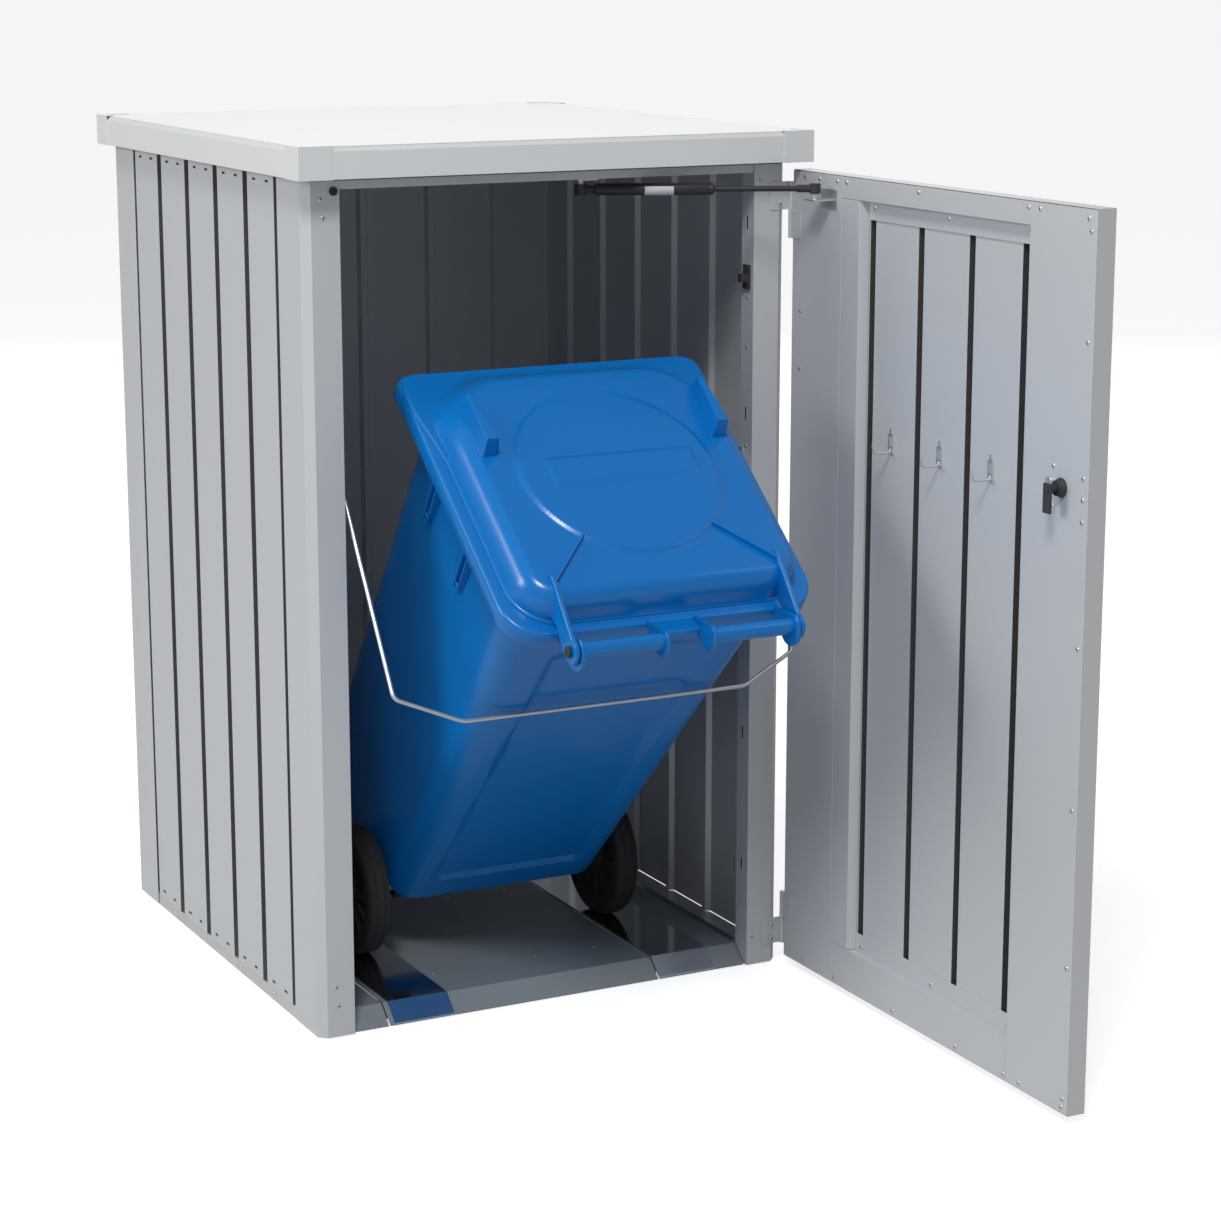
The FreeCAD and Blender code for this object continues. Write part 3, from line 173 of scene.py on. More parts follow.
class Coat(Tree):
    """One material: its tree, its shader and the patterns that feed it."""

    def __init__(self, name: str, constants: dict[str, object]) -> None:
        """Start a material.

        Args:
            name: the material's name.
            constants: values set on the shader's own sockets.
        """
        self.material = bpy.data.materials.new(name)
        self.material.use_nodes = True
        super().__init__(self.material.node_tree)
        self.shader = next(one for one in self.nodes.nodes if one.type == "BSDF_PRINCIPLED")
        for key, value in constants.items():
            self.shader.inputs[key].default_value = value
        self.place = self.node("ShaderNodeTexCoord").outputs["Object"]

    def stretched(self, scale: Sequence[float]) -> bpy.types.NodeSocket:
        """Return Object coordinates scaled along each axis."""
        return self.node("ShaderNodeMapping", {}, {"Vector": self.place, "Scale": scale}).outputs[0]

    def noise(self, scale: float, detail: float = 2.0, roughness: float = 0.5,
              place: bpy.types.NodeSocket | None = None) -> Signal:
        """Return smooth noise from 0 to 1.

        Args:
            scale: features per metre.
            detail: octaves.
            roughness: how strong the finer octaves are.
            place: the coordinates, or None for Object coordinates.

        Returns:
            The noise as a signal.
        """
        made = self.node("ShaderNodeTexNoise", {"normalize": True},
                         {"Vector": place or self.place, "Scale": scale, "Detail": detail,
                          "Roughness": roughness})
        return Signal(self, made.outputs[0])

    def cells(self, scale: float) -> Signal:
        """Return a random level for each cell of a Voronoi pattern.

        Args:
            scale: cells per metre.

        Returns:
            The level, from 0 to 1.
        """
        made = self.node("ShaderNodeTexVoronoi", {"feature": "F1"},
                         {"Vector": self.place, "Scale": scale})
        parts = self.node("ShaderNodeSeparateColor", {}, {"Color": made.outputs["Color"]})
        return Signal(self, parts.outputs[0])

    def height(self) -> Signal:
        """Return the height above the ground in metres."""
        parts = self.node("ShaderNodeSeparateXYZ", {}, {"Vector": self.place})
        return Signal(self, parts.outputs["Z"])

    def blend(self, share: Signal, first: object, second: object) -> bpy.types.NodeSocket:
        """Return a colour between two colours.

        Args:
            share: 0 for the first colour and 1 for the second.
            first: a colour or a colour socket.
            second: a colour or a colour socket.

        Returns:
            The mixed colour's socket.
        """
        made = self.node("ShaderNodeMix", {"data_type": "RGBA", "clamp_factor": True})
        for key, value in (("Factor_Float", share), ("A_Color", first), ("B_Color", second)):
            self.feed(self.socket(made.inputs, key),
                      (*value, 1.0) if isinstance(value, tuple) else value)
        return self.socket(made.outputs, "Result_Color")

    def bumped(self, relief: Signal, strength: float, distance: float) -> None:
        """Feed the shader's normal from a relief.

        Args:
            relief: height from 0 to 1.
            strength: how strongly it shows.
            distance: metres between 0 and 1.
        """
        made = self.node("ShaderNodeBump", {},
                         {"Height": relief, "Strength": strength, "Distance": distance})
        self.feed(self.shader.inputs["Normal"], made.outputs[0])

    def finish(self, colour: object, roughness: Signal) -> bpy.types.Material:
        """Feed the shader's colour and roughness.

        Args:
            colour: a colour or a colour socket.
            roughness: the roughness before it is held in range.

        Returns:
            The finished material.
        """
        self.feed(self.shader.inputs["Base Color"], colour)
        self.feed(self.shader.inputs["Roughness"], roughness.clamped(0.03, 1.0))
        return self.material


def shade(colour: Colour, factor: float) -> Colour:
    """Return a colour made lighter or darker by a factor."""
    return tuple(min(1.0, part * factor) for part in colour)


# ------------------------------------------------------------------ finishes

@dataclass(frozen=True)
class MetallicPaint:
    """Stoved metallic paint on sheet steel: fine flake, faint clouding, orange peel."""

    slot: str
    colour: Colour
    metallic: float = 0.55
    roughness: float = 0.36
    cloud: float = 0.05
    flake: float = 0.14
    mottle: float = 0.12
    dust: Colour = (0.30, 0.29, 0.27)

    def make(self) -> bpy.types.Material:
        """Build the paint.

        Returns:
            The material.
        """
        coat = Coat(self.slot, {"Metallic": self.metallic, "Specular IOR Level": 0.45})
        cloud = coat.noise(2.6, 3.0, 0.6)
        flake = coat.noise(950.0, 1.0) * 0.6 + coat.cells(620.0) * 0.4
        mottle = coat.noise(60.0, 3.0, 0.7)
        dust = (1.0 - coat.height() * 9.0).clamped(0.0, 1.0) * coat.noise(30.0, 3.0)
        level = ((cloud - 0.5) * self.cloud * 4 + (flake - 0.5) * self.flake * 2
                 + (mottle - 0.5) * self.mottle + 0.5)
        body = coat.blend(level, shade(self.colour, 0.80), shade(self.colour, 1.20))
        dusty = coat.blend(dust * 0.35, body, self.dust)
        peel = coat.noise(420.0, 2.0) * 0.5 + flake * 0.5
        coat.bumped(peel, 0.22, 0.00025)
        return coat.finish(dusty, (cloud - 0.5) * 0.12 + (flake - 0.5) * 0.18 + self.roughness)


@dataclass(frozen=True)
class MouldedPlastic:
    """Injection-moulded plastic: even colour, soft gloss, a little handling wear."""

    slot: str
    colour: Colour
    roughness: float = 0.3
    grain: float = 900.0
    scuff: float = 0.12
    sheen: float = 0.5

    def make(self) -> bpy.types.Material:
        """Build the plastic.

        Returns:
            The material.
        """
        coat = Coat(self.slot, {"Specular IOR Level": self.sheen})
        cloud = coat.noise(5.0, 2.0)
        scuffs = coat.noise(18.0, 6.0, 0.72, coat.stretched((1.0, 2.5, 1.0)))
        worn = ((scuffs - 0.56) * 7.0).clamped(0.0, 1.0)
        body = coat.blend(cloud, shade(self.colour, 0.92), shade(self.colour, 1.08))
        scuffed = coat.blend(worn * self.scuff, body, shade(self.colour, 1.7))
        relief = coat.noise(self.grain, 2.0) * 0.6 + coat.noise(11.0, 1.0) * 0.9
        coat.bumped(relief, 0.10, 0.0009)
        return coat.finish(scuffed, (cloud - 0.5) * 0.08 + worn * 0.12 + self.roughness)


@dataclass(frozen=True)
class BareMetal:
    """Plated, drawn or polished metal, with marks along one direction where it has a grain."""

    slot: str
    colour: Colour
    roughness: float = 0.25
    stretch: tuple[float, float, float] = (1.0, 1.0, 1.0)
    grain: float = 260.0
    streak: float = 0.16

    def make(self) -> bpy.types.Material:
        """Build the metal.

        Returns:
            The material.
        """
        coat = Coat(self.slot, {"Metallic": 1.0})
        lines = coat.noise(self.grain, 4.0, 0.7, coat.stretched(self.stretch))
        spots = coat.noise(90.0, 4.0, 0.65)
        colour = coat.blend(lines * 0.6 + spots * 0.4, shade(self.colour, 0.82),
                            shade(self.colour, 1.12))
        coat.bumped(lines, 0.12, 0.0002)
        return coat.finish(colour,
                           (lines - 0.5) * self.streak + (spots - 0.5) * 0.14 + self.roughness)


@dataclass(frozen=True)
class Rubber:
    """Solid black rubber with a chalky bloom and dust near the ground."""

    slot: str
    colour: Colour

    def make(self) -> bpy.types.Material:
        """Build the rubber.

        Returns:
            The material.
        """
        coat = Coat(self.slot, {"Specular IOR Level": 0.35})
        bloom = coat.noise(26.0, 5.0, 0.65)
        chalk = ((bloom - 0.45) * 3.0).clamped(0.0, 1.0) * 0.5
        colour = coat.blend(chalk, self.colour, shade(self.colour, 3.0))
        coat.bumped(coat.noise(700.0, 3.0), 0.25, 0.0004)
        return coat.finish(colour, (bloom - 0.5) * 0.2 + 0.62)


class Finish(Enum):
    """Every finish on the cabinet and the bin."""

    SILVER = MetallicPaint("silver_paint", (0.105, 0.110, 0.115))
    # A lighter, glossier copy of the silver paint for the lid: painted light, standing for the brighter
    # light on the lid top.
    LID = MetallicPaint("lid_paint", (0.112, 0.118, 0.124), roughness=0.34)
    # Darker paint for the faces inside the wall and door grooves: painted shade, standing for the shade
    # that falls in the grooves.
    PAINTED_GROOVE_SHADE = MetallicPaint("painted_groove_shade", (0.046, 0.049, 0.053), metallic=0.35, roughness=0.45)
    FLOOR = MetallicPaint("floor_paint", (0.075, 0.085, 0.097), metallic=0.4, roughness=0.42,
                          flake=0.06)
    ALUMINIUM = BareMetal("bare_aluminium", (0.62, 0.63, 0.64), 0.3, (6.0, 0.15, 6.0))
    POLISHED = BareMetal("polished_steel", (0.50, 0.52, 0.54), 0.12, (4.0, 0.2, 4.0), streak=0.08)
    ZINC = BareMetal("zinc_plate", (0.60, 0.62, 0.64), 0.28)
    WIRE = BareMetal("wire_steel", (0.50, 0.50, 0.50), 0.22, (1.0, 1.0, 0.2))
    ENAMEL = MouldedPlastic("black_enamel", (0.008, 0.008, 0.009), 0.22, scuff=0.02)
    NYLON = MouldedPlastic("black_nylon", (0.012, 0.012, 0.013), 0.42, scuff=0.05)
    BLUE = MouldedPlastic("blue_plastic", (0.0, 0.125, 0.54), 0.25, scuff=0.03, sheen=0.3)
    TYRE = Rubber("tyre_rubber", (0.012, 0.012, 0.013))
    BUFFER = Rubber("buffer_rubber", (0.010, 0.010, 0.011))
    LABEL = MouldedPlastic("label_paper", (0.55, 0.55, 0.54), 0.5, scuff=0.0)
    # Flat near-black plastic in the slot openings and screw sockets: painted shade where the recesses are.
    SHADOW = MouldedPlastic("painted_opening_shade", (0.004, 0.004, 0.005), 0.8, scuff=0.0)

    def material(self) -> bpy.types.Material:
        """Return this finish's material, made at first use."""
        return bpy.data.materials.get(self.value.slot) or self.value.make()

    def slot(self) -> str:
        """Return the record's slot that a piece with this finish belongs to."""
        shared = {"label_paper": "black_enamel", "painted_opening_shade": "black_nylon",
                  "painted_groove_shade": "silver_paint"}
        return shared.get(self.value.slot, self.value.slot)


# ------------------------------------------------------------------ meshes

class Shape:
    """A mesh that grows from closed strips, plates and blocks."""

    def __init__(self) -> None:
        """Start empty."""
        self.points: list[Vector] = []
        self.faces: list[tuple[int, ...]] = []

    def grid(self, rows: Sequence[Sequence[Vector]], around: bool = False, along: bool = False,
             caps: bool = False) -> Shape:
        """Add faces between equal rows of points.

        Args:
            rows: the rows.
            around: whether each row closes on itself.
            along: whether the last row joins the first.
            caps: whether the first and last rows are filled.

        Returns:
            The shape itself.
        """
        base, width = len(self.points), len(rows[0])
        for row in rows:
            self.points.extend(Vector(point) for point in row)
        for number in range(len(rows) if along else len(rows) - 1):
            low, high = base + number * width, base + (number + 1) % len(rows) * width
            for step in range(width if around else width - 1):
                after = (step + 1) % width
                self.faces.append((low + step, low + after, high + after, high + step))
        if caps:
            self.faces.append(tuple(base + step for step in reversed(range(width))))
            last = base + (len(rows) - 1) * width
            self.faces.append(tuple(last + step for step in range(width)))
        return self

    def plate(self, outline: Sequence[Point], low: float, high: float,
              put: Callable[[float, float, float], Vector]) -> Shape:
        """Add a flat plate of any outline.

        Args:
            outline: corners in the plate's plane.
            low: one face's depth.
            high: the other face's depth.
            put: turns (depth, first, second) into a place.

        Returns:
            The shape itself.
        """
        rows = [[put(depth, *corner) for corner in outline] for depth in (low, high)]
        return self.grid(rows, around=True, caps=True)

    def block(self, low: Sequence[float], high: Sequence[float]) -> Shape:
        """Add a block between two corners."""
        outline = [(low[0], low[1]), (high[0], low[1]), (high[0], high[1]), (low[0], high[1])]
        return self.plate(outline, low[2], high[2], lambda depth, x, y: Vector((x, y, depth)))

    def turned(self, profile: Sequence[Point], put: Callable[[float, float, float], Vector],
               sides: int = 32) -> Shape:
        """Add a closed profile turned about an axis.

        Args:
            profile: (along, radius) corners of a closed outline.
            put: turns (along, across, up) into a place.
            sides: facets round the axis.

        Returns:
            The shape itself.
        """
        rows = []
        for side in range(sides):
            angle = math.tau * side / sides
            rows.append([put(along, radius * math.cos(angle), radius * math.sin(angle))
                         for along, radius in profile])
        return self.grid(rows, around=True, along=True)

    def bar(self, path: Sequence[Vector], radius: float, sides: int = 12) -> Shape:
        """Add a round bar with flat ends along a path.

        Args:
            path: the centre line's points.
            radius: the bar's radius.
            sides: facets round it.

        Returns:
            The shape itself.
        """
        rows = []
        side_way = None
        for number, point in enumerate(path):
            ahead = path[min(number + 1, len(path) - 1)] - path[max(number - 1, 0)]
            ahead.normalize()
            if side_way is None:
                side_way = ahead.orthogonal()
            side_way = (side_way - ahead * side_way.dot(ahead)).normalized()
            other = ahead.cross(side_way)
            turns = [math.tau * k / sides for k in range(sides)]
            rows.append([point + (side_way * math.cos(turn) + other * math.sin(turn)) * radius
                         for turn in turns])
        return self.grid(rows, around=True, caps=True)

    def build(self, name: str, smooth_below: float = 38.0) -> bpy.types.Object:
        """Make the object, with merged points and outward faces.

        Args:
            name: the object's name.
            smooth_below: edges with a smaller angle, in degrees, are shaded smooth.

        Returns:
            The new object, at the origin.
        """
        mesh = bpy.data.meshes.new(name)
        mesh.from_pydata(self.points, [], self.faces)
        work = bmesh.new()
        work.from_mesh(mesh)
        bmesh.ops.remove_doubles(work, verts=work.verts, dist=MERGE)
        bmesh.ops.dissolve_degenerate(work, edges=work.edges, dist=MERGE)
        bmesh.ops.recalc_face_normals(work, faces=work.faces)
        shade_edges(work, smooth_below)
        work.to_mesh(mesh)
        work.free()
        return placed(name, mesh)


def placed(name: str, data: bpy.types.ID) -> bpy.types.Object:
    """Return a new object at the origin of the scene.

    Args:
        name: the object's name.
        data: its mesh, light or camera.

    Returns:
        The object.
    """
    made = bpy.data.objects.new(name, data)
    bpy.context.scene.collection.objects.link(made)
    return made


def shade_edges(work: bmesh.types.BMesh, smooth_below: float) -> None:
    """Shade faces smooth and keep the strongly turned edges sharp.

    Args:
        work: the mesh.
        smooth_below: edges with a smaller angle, in degrees, are shaded smooth.
    """
    limit = math.radians(smooth_below)
    for face in work.faces:
        face.smooth = True
    for edge in work.edges:
        edge.smooth = len(edge.link_faces) == 2 and edge.calc_face_angle(0.0) < limit


def bevelled(piece: bpy.types.Object, width: float, segments: int = 2) -> bpy.types.Object:
    """Round a piece's edges with a live modifier.

    Args:
        piece: the object.
        width: the rounding in metres.
        segments: strips across it.

    Returns:
        The piece.
    """
    made = piece.modifiers.new("edges", "BEVEL")
    made.width = width
    made.segments = segments
    made.limit_method = "ANGLE"
    made.angle_limit = BEVEL_ANGLE
    made.harden_normals = True
    return piece


def walled(piece: bpy.types.Object, thickness: float) -> bpy.types.Object:
    """Give an open surface a wall that grows inwards.

    Args:
        piece: the object.
        thickness: the wall in metres.

    Returns:
        The piece.
    """
    made = piece.modifiers.new("wall", "SOLIDIFY")
    made.thickness = thickness
    made.offset = -1.0
    made.use_even_offset = True
    return piece


def settle(piece: bpy.types.Object, finish: Finish, body: str,
           nodes: Sequence[str] = ()) -> bpy.types.Object:
    """Dress a finished piece, attach it to its body and report it.

    Args:
        piece: the object, in place.
        finish: its finish, unless the mesh already has materials.
        body: the body that it moves with.
        nodes: the design's nodes that it stands for.

    Returns:
        The piece.
    """
    if not piece.data.materials:
        piece.data.materials.append(finish.material())
    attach(piece, body)
    finish.slot()
    if nodes:
        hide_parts(*nodes)
    LOG.info("%s: %d faces, rides on %s", piece.name, len(piece.data.polygons), body)
    return piece


def mark_groove_shade(work: bmesh.types.BMesh, outward: Vector) -> None:
    """Give the second material, a darker paint that is painted shade, to the faces that lie inside a
    sheet's grooves.

    Args:
        work: the sheet.
        outward: the direction that the grooves open to.
    """
    level = max(vert.co.dot(outward) for vert in work.verts)
    for face in work.faces:
        face.normal_update()
        below = level - face.calc_center_median().dot(outward) > GROOVE_START
        near = all(level - vert.co.dot(outward) < GROOVE_END for vert in face.verts)
        if below and near and face.normal.dot(outward) > 0.1 and abs(face.normal.z) < 0.5:
            face.material_index = 1


def refined(node: str, body: str, finish: Finish, width: float,
            outward: Vector | None = None) -> bpy.types.Object:
    """Copy a design node, merge it and round its edges.

    Args:
        node: the design's node.
        body: the body that it moves with.
        finish: its finish.
        width: the rounding of its edges; 0 for none.
        outward: the direction that a ribbed sheet's grooves open to; the faces inside them get painted
            shade.

    Returns:
        The new piece, which stands for the node.
    """
    mesh = frame["nodes"][node].data.copy()
    mesh.materials.clear()
    work = bmesh.new()
    work.from_mesh(mesh)
    bmesh.ops.remove_doubles(work, verts=work.verts, dist=MERGE)
    bmesh.ops.dissolve_limit(work, angle_limit=FLAT_ANGLE, verts=work.verts, edges=work.edges)
    shade_edges(work, 32.0)
    if outward:
        mark_groove_shade(work, outward)
        # The second material is the darker paint that paints shade into the grooves.
        for coat in (finish, Finish.PAINTED_GROOVE_SHADE):
            mesh.materials.append(coat.material())
    work.to_mesh(mesh)
    work.free()
    piece = placed(f"{node}_finished", mesh)
    if width:
        bevelled(piece, width)
    return settle(piece, finish, body, [node])


def smooth_step(low: float, high: float, value: float) -> float:
    """Return 0 below low, 1 above high and an eased share between."""
    share = min(1.0, max(0.0, (value - low) / (high - low)))
    return share * share * (3.0 - 2.0 * share)


def mixed(first: float, second: float, share: float) -> float:
    """Return the value a share of the way from first to second."""
    return first + (second - first) * share


def rounded_outline(half: float, near: float, far: float, near_radius: float, far_radius: float,
                    straight_steps: int, corner_steps: int) -> list[Point]:
    """Return a closed rounded rectangle, centred on x = 0.

    Args:
        half: half its width.
        near: its low edge.
        far: its high edge.
        near_radius: the radius of the two low corners.
        far_radius: the radius of the two high corners.
        straight_steps: steps on each straight side.
        corner_steps: steps on each corner.

    Returns:
        The points, counter-clockwise from the low side's left end.
    """
    corners = [(half - near_radius, near + near_radius, near_radius, -90.0),
               (half - far_radius, far - far_radius, far_radius, 0.0),
               (far_radius - half, far - far_radius, far_radius, 90.0),
               (near_radius - half, near + near_radius, near_radius, 180.0)]
    marks: list[Point] = []
    for x, y, radius, start in corners:
        for step in range(corner_steps + 1):
            angle = math.radians(start + 90.0 * step / corner_steps)
            marks.append((x + radius * math.cos(angle), y + radius * math.sin(angle)))
    outline: list[Point] = []
    for number, mark in enumerate(marks):
        after = marks[(number + 1) % len(marks)]
        pieces = straight_steps if number % (corner_steps + 1) == corner_steps else 1
        outline += [(mixed(mark[0], after[0], k / pieces), mixed(mark[1], after[1], k / pieces))
                    for k in range(pieces)]
    return outline


def outward_ways(outline: Sequence[Point]) -> list[Point]:
    """Return the outward direction at each point of an outline.

    Args:
        outline: the points, counter-clockwise.

    Returns:
        One unit direction for each point.
    """
    ways = []
    for number, _ in enumerate(outline):
        before, after = outline[number - 1], outline[(number + 1) % len(outline)]
        along = (after[0] - before[0], after[1] - before[1])
        length = math.hypot(*along)
        ways.append((along[1] / length, -along[0] / length))
    return ways


def arc(centre: Point, radius: float, start: float, end: float, steps: int) -> list[Point]:
    """Return points on an arc, from a start angle to an end angle in degrees."""
    turns = [math.radians(mixed(start, end, k / steps)) for k in range(steps + 1)]
    return [(centre[0] + radius * math.cos(turn), centre[1] + radius * math.sin(turn)) for turn in turns]


# ------------------------------------------------------------------ repeated pieces

class Grower(Tree):
    """A geometry tree with named inputs that puts one small shape on many points."""

    def __init__(self, name: str) -> None:
        """Start a tree.

        Args:
            name: the tree's name.
        """
        super().__init__(bpy.data.node_groups.new(name, "GeometryNodeTree"))
        self.nodes.interface.new_socket("Points", in_out="INPUT", socket_type="NodeSocketGeometry")
        self.nodes.interface.new_socket("Geometry", in_out="OUTPUT", socket_type="NodeSocketGeometry")
        self.start = self.node("NodeGroupInput")
        self.end = self.node("NodeGroupOutput")

    def size(self, name: str, default: float | Sequence[float] | None,
             kind: str = "NodeSocketFloat") -> bpy.types.NodeSocket:
        """Add a named input.

        Args:
            name: the input's name.
            default: its value unless one is given, or None.
            kind: the socket's type name.

        Returns:
            The input's socket inside the tree.
        """
        made = self.nodes.interface.new_socket(name, in_out="INPUT", socket_type=kind)
        if default is not None:
            made.default_value = default
        return self.socket(self.start.outputs, made.identifier)

    def times(self, value: object, factor: float) -> bpy.types.NodeSocket:
        """Multiply a size.

        Args:
            value: a size's socket.
            factor: the number it is multiplied by.

        Returns:
            The product's socket.
        """
        made = self.node("ShaderNodeMath", {"operation": "MULTIPLY"})
        self.feed(made.inputs[0], value)
        self.feed(made.inputs[1], factor)
        return made.outputs[0]

    def painted(self, geometry: bpy.types.NodeSocket, material: object) -> bpy.types.NodeSocket:
        """Return a geometry with a material set."""
        inputs = {"Geometry": geometry, "Material": material}
        return self.node("GeometryNodeSetMaterial", {}, inputs).outputs[0]

    def moved(self, geometry: bpy.types.NodeSocket, up: object) -> bpy.types.NodeSocket:
        """Return a geometry moved along Z."""
        inputs = {"Geometry": geometry,
                  "Translation": self.node("ShaderNodeCombineXYZ", {}, {"Z": up}).outputs[0]}
        return self.node("GeometryNodeTransform", {}, inputs).outputs[0]

    def close(self, shape: bpy.types.NodeSocket, facing: object, seed: int | None) -> None:
        """Put the shape on every point, turn it and end the tree.

        Args:
            shape: the small shape, with its face along +Z.
            facing: the rotation that all copies share.
            seed: the seed of each copy's own spin about its axis, or None for no spin.
        """
        placed = self.node("GeometryNodeInstanceOnPoints", {},
                           {"Points": self.start.outputs[0], "Instance": shape, "Rotation": facing})
        result = placed.outputs[0]
        if seed is not None:
            spin = self.node("FunctionNodeRandomValue", {"data_type": "FLOAT"})
            self.feed(self.socket(spin.inputs, "Max_001"), math.tau)
            self.feed(self.socket(spin.inputs, "Seed"), seed)
            turn = self.node("ShaderNodeCombineXYZ", {}, {"Z": self.socket(spin.outputs, "Value_001")})
            result = self.node("GeometryNodeRotateInstances", {},
                               {"Instances": result, "Rotation": turn.outputs[0]}).outputs[0]
        real = self.node("GeometryNodeRealizeInstances", {}, {"Geometry": result})
        flat = self.node("GeometryNodeSetShadeSmooth", {},
                         {"Geometry": real.outputs[0], "Shade Smooth": False})
        self.feed(self.end.inputs[0], flat.outputs[0])

    def grown(self, name: str, points: Sequence[Vector], values: dict[str, object]) -> bpy.types.Object:
        """Run the tree on points and return a plain mesh object.

        Args:
            name: the object's name.
            points: where the copies go.
            values: the tree's inputs by name.

        Returns:
            The object, with the modifier gone.
        """
        mesh = bpy.data.meshes.new(name)
        mesh.from_pydata(list(points), [], [])
        made = placed(name, mesh)
        modifier = made.modifiers.new("grow", "NODES")
        modifier.node_group = self.nodes
        for item in self.nodes.interface.items_tree:
            if item.in_out == "INPUT" and item.name in values:
                modifier[item.identifier] = values[item.name]
        bpy.context.view_layer.update()
        graph = bpy.context.evaluated_depsgraph_get()
        plain = bpy.data.meshes.new_from_object(made.evaluated_get(graph), depsgraph=graph)
        made.modifiers.remove(modifier)
        made.data = plain
        return made


def screw_tree() -> Grower:
    """Make a tree of pan heads, each with a six-sided socket painted dark as shade.

    Returns:
        The tree.
    """
    tree = Grower("pan_heads")
    radius = tree.size("Head Radius", 3.6 * MM)
    height = tree.size("Head Height", 1.6 * MM)
    facing = tree.size("Facing", (0.0, 0.0, 0.0), "NodeSocketRotation")
    metal = tree.size("Metal", None, "NodeSocketMaterial")
    dark = tree.size("Socket", None, "NodeSocketMaterial")

    def cone(sides: int, low: float, high: float, tall: float, start: float,
             paint: object) -> bpy.types.NodeSocket:
        """Return one tier of a head, its sizes as shares of the head's."""
        made = tree.node("GeometryNodeMeshCone", {}, {
            "Vertices": sides, "Radius Bottom": tree.times(radius, low),
            "Radius Top": tree.times(radius, high), "Depth": tree.times(height, tall)})
        return tree.painted(tree.moved(made.outputs[0], tree.times(height, start)), paint)

    head = tree.node("GeometryNodeJoinGeometry")
    for part in (cone(20, 1.0, 0.94, 0.5, 0.0, metal), cone(20, 0.94, 0.72, 0.28, 0.5, metal),
                 cone(20, 0.72, 0.42, 0.2, 0.78, metal), cone(6, 0.36, 0.36, 0.1, 0.9, dark)):
        tree.nodes.links.new(part, head.inputs[0])
    tree.close(head.outputs[0], facing, seed=7)
    return tree


def slot_tree() -> Grower:
    """Make a tree of pressed slots: a raised lip round an opening painted dark as shade.

    Returns:
        The tree.
    """
    tree = Grower("pressed_slots")
    long = tree.size("Length", 22 * MM)
    wide = tree.size("Width", 5 * MM)
    lip = tree.size("Lip", 0.6 * MM)
    facing = tree.size("Facing", (0.0, 0.0, 0.0), "NodeSocketRotation")
    metal = tree.size("Metal", None, "NodeSocketMaterial")
    dark = tree.size("Opening", None, "NodeSocketMaterial")

    def slab(share: float, tall: float, paint: object) -> bpy.types.NodeSocket:
        """Return one block, its sizes as shares of the slot's."""
        size = tree.node("ShaderNodeCombineXYZ", {}, {
            "X": tree.times(long, share), "Y": tree.times(wide, share * share),
            "Z": tree.times(lip, tall)})
        made = tree.node("GeometryNodeMeshCube", {}, {"Size": size.outputs[0]})
        return tree.painted(made.outputs[0], paint)

    both = tree.node("GeometryNodeJoinGeometry")
    for part in (slab(1.0, 1.0, metal), slab(0.86, 1.3, dark)):
        tree.nodes.links.new(part, both.inputs[0])
    tree.close(both.outputs[0], facing, seed=None)
    return tree


def copy_tree() -> Grower:
    """Make a tree that puts copies of one given object on points.

    Returns:
        The tree.
    """
    tree = Grower("copies")
    source = tree.size("Piece", None, "NodeSocketObject")
    facing = tree.size("Facing", (0.0, 0.0, 0.0), "NodeSocketRotation")
    metal = tree.size("Metal", None, "NodeSocketMaterial")
    info = tree.node("GeometryNodeObjectInfo", {"transform_space": "ORIGINAL"}, {"Object": source})
    tree.close(tree.painted(info.outputs["Geometry"], metal), facing, seed=None)
    return tree


class Towards(Enum):
    """The turn that lays a small shape's +Z along a direction, as XYZ angles."""

    LEFT = (0.0, -math.pi / 2, 0.0)
    RIGHT = (0.0, math.pi / 2, 0.0)
    FRONT = (math.pi / 2, 0.0, 0.0)
    UP = (0.0, 0.0, 0.0)


@dataclass
class Hardware:
    """The small repeated pieces, shared by every sub-assembly."""

    screws: Grower
    slots: Grower
    copies: Grower

    def heads(self, name: str, points: Sequence[Vector], towards: Towards, body: str,
              nodes: Sequence[str] = (), radius: float = 3.6 * MM) -> bpy.types.Object:
        """Place pan heads.

        Args:
            name: the piece's name.
            points: where the heads sit.
            towards: the way that they face.
            body: the body that they move with.
            nodes: the design's nodes that they stand for.
            radius: a head's radius.

        Returns:
            The finished piece.
        """
        made = self.screws.grown(name, points, {
            "Head Radius": radius, "Head Height": radius * 0.45, "Facing": towards.value,
            "Metal": Finish.ZINC.material(), "Socket": Finish.SHADOW.material()})
        return settle(made, Finish.ZINC, body, nodes)

    def openings(self, name: str, points: Sequence[Vector], towards: Towards, body: str,
                 long: float, wide: float) -> bpy.types.Object:
        """Place pressed slots.

        Args:
            name: the piece's name.
            points: the slots' centres.
            towards: the way that they face.
            body: the body that they move with.
            long: a slot's length along its own X.
            wide: a slot's width.

        Returns:
            The finished piece.
        """
        made = self.slots.grown(name, points, {
            "Length": long, "Width": wide, "Facing": towards.value,
            "Metal": Finish.SILVER.material(), "Opening": Finish.SHADOW.material()})
        return settle(made, Finish.SILVER, body)


# ------------------------------------------------------------------ the cabinet

def leaf_levels(box: Sequence[Vector], tall: float) -> list[float]:
    """Return the heights of the two screws on each of two hinge leaves.

    Args:
        box: the lowest and highest corners of both leaves together.
        tall: the height of one leaf.

    Returns:
        The heights, the upper leaf's first.
    """
    return [start + share * tall for start in (box[1].z - tall, box[0].z) for share in (0.22, 0.78)]


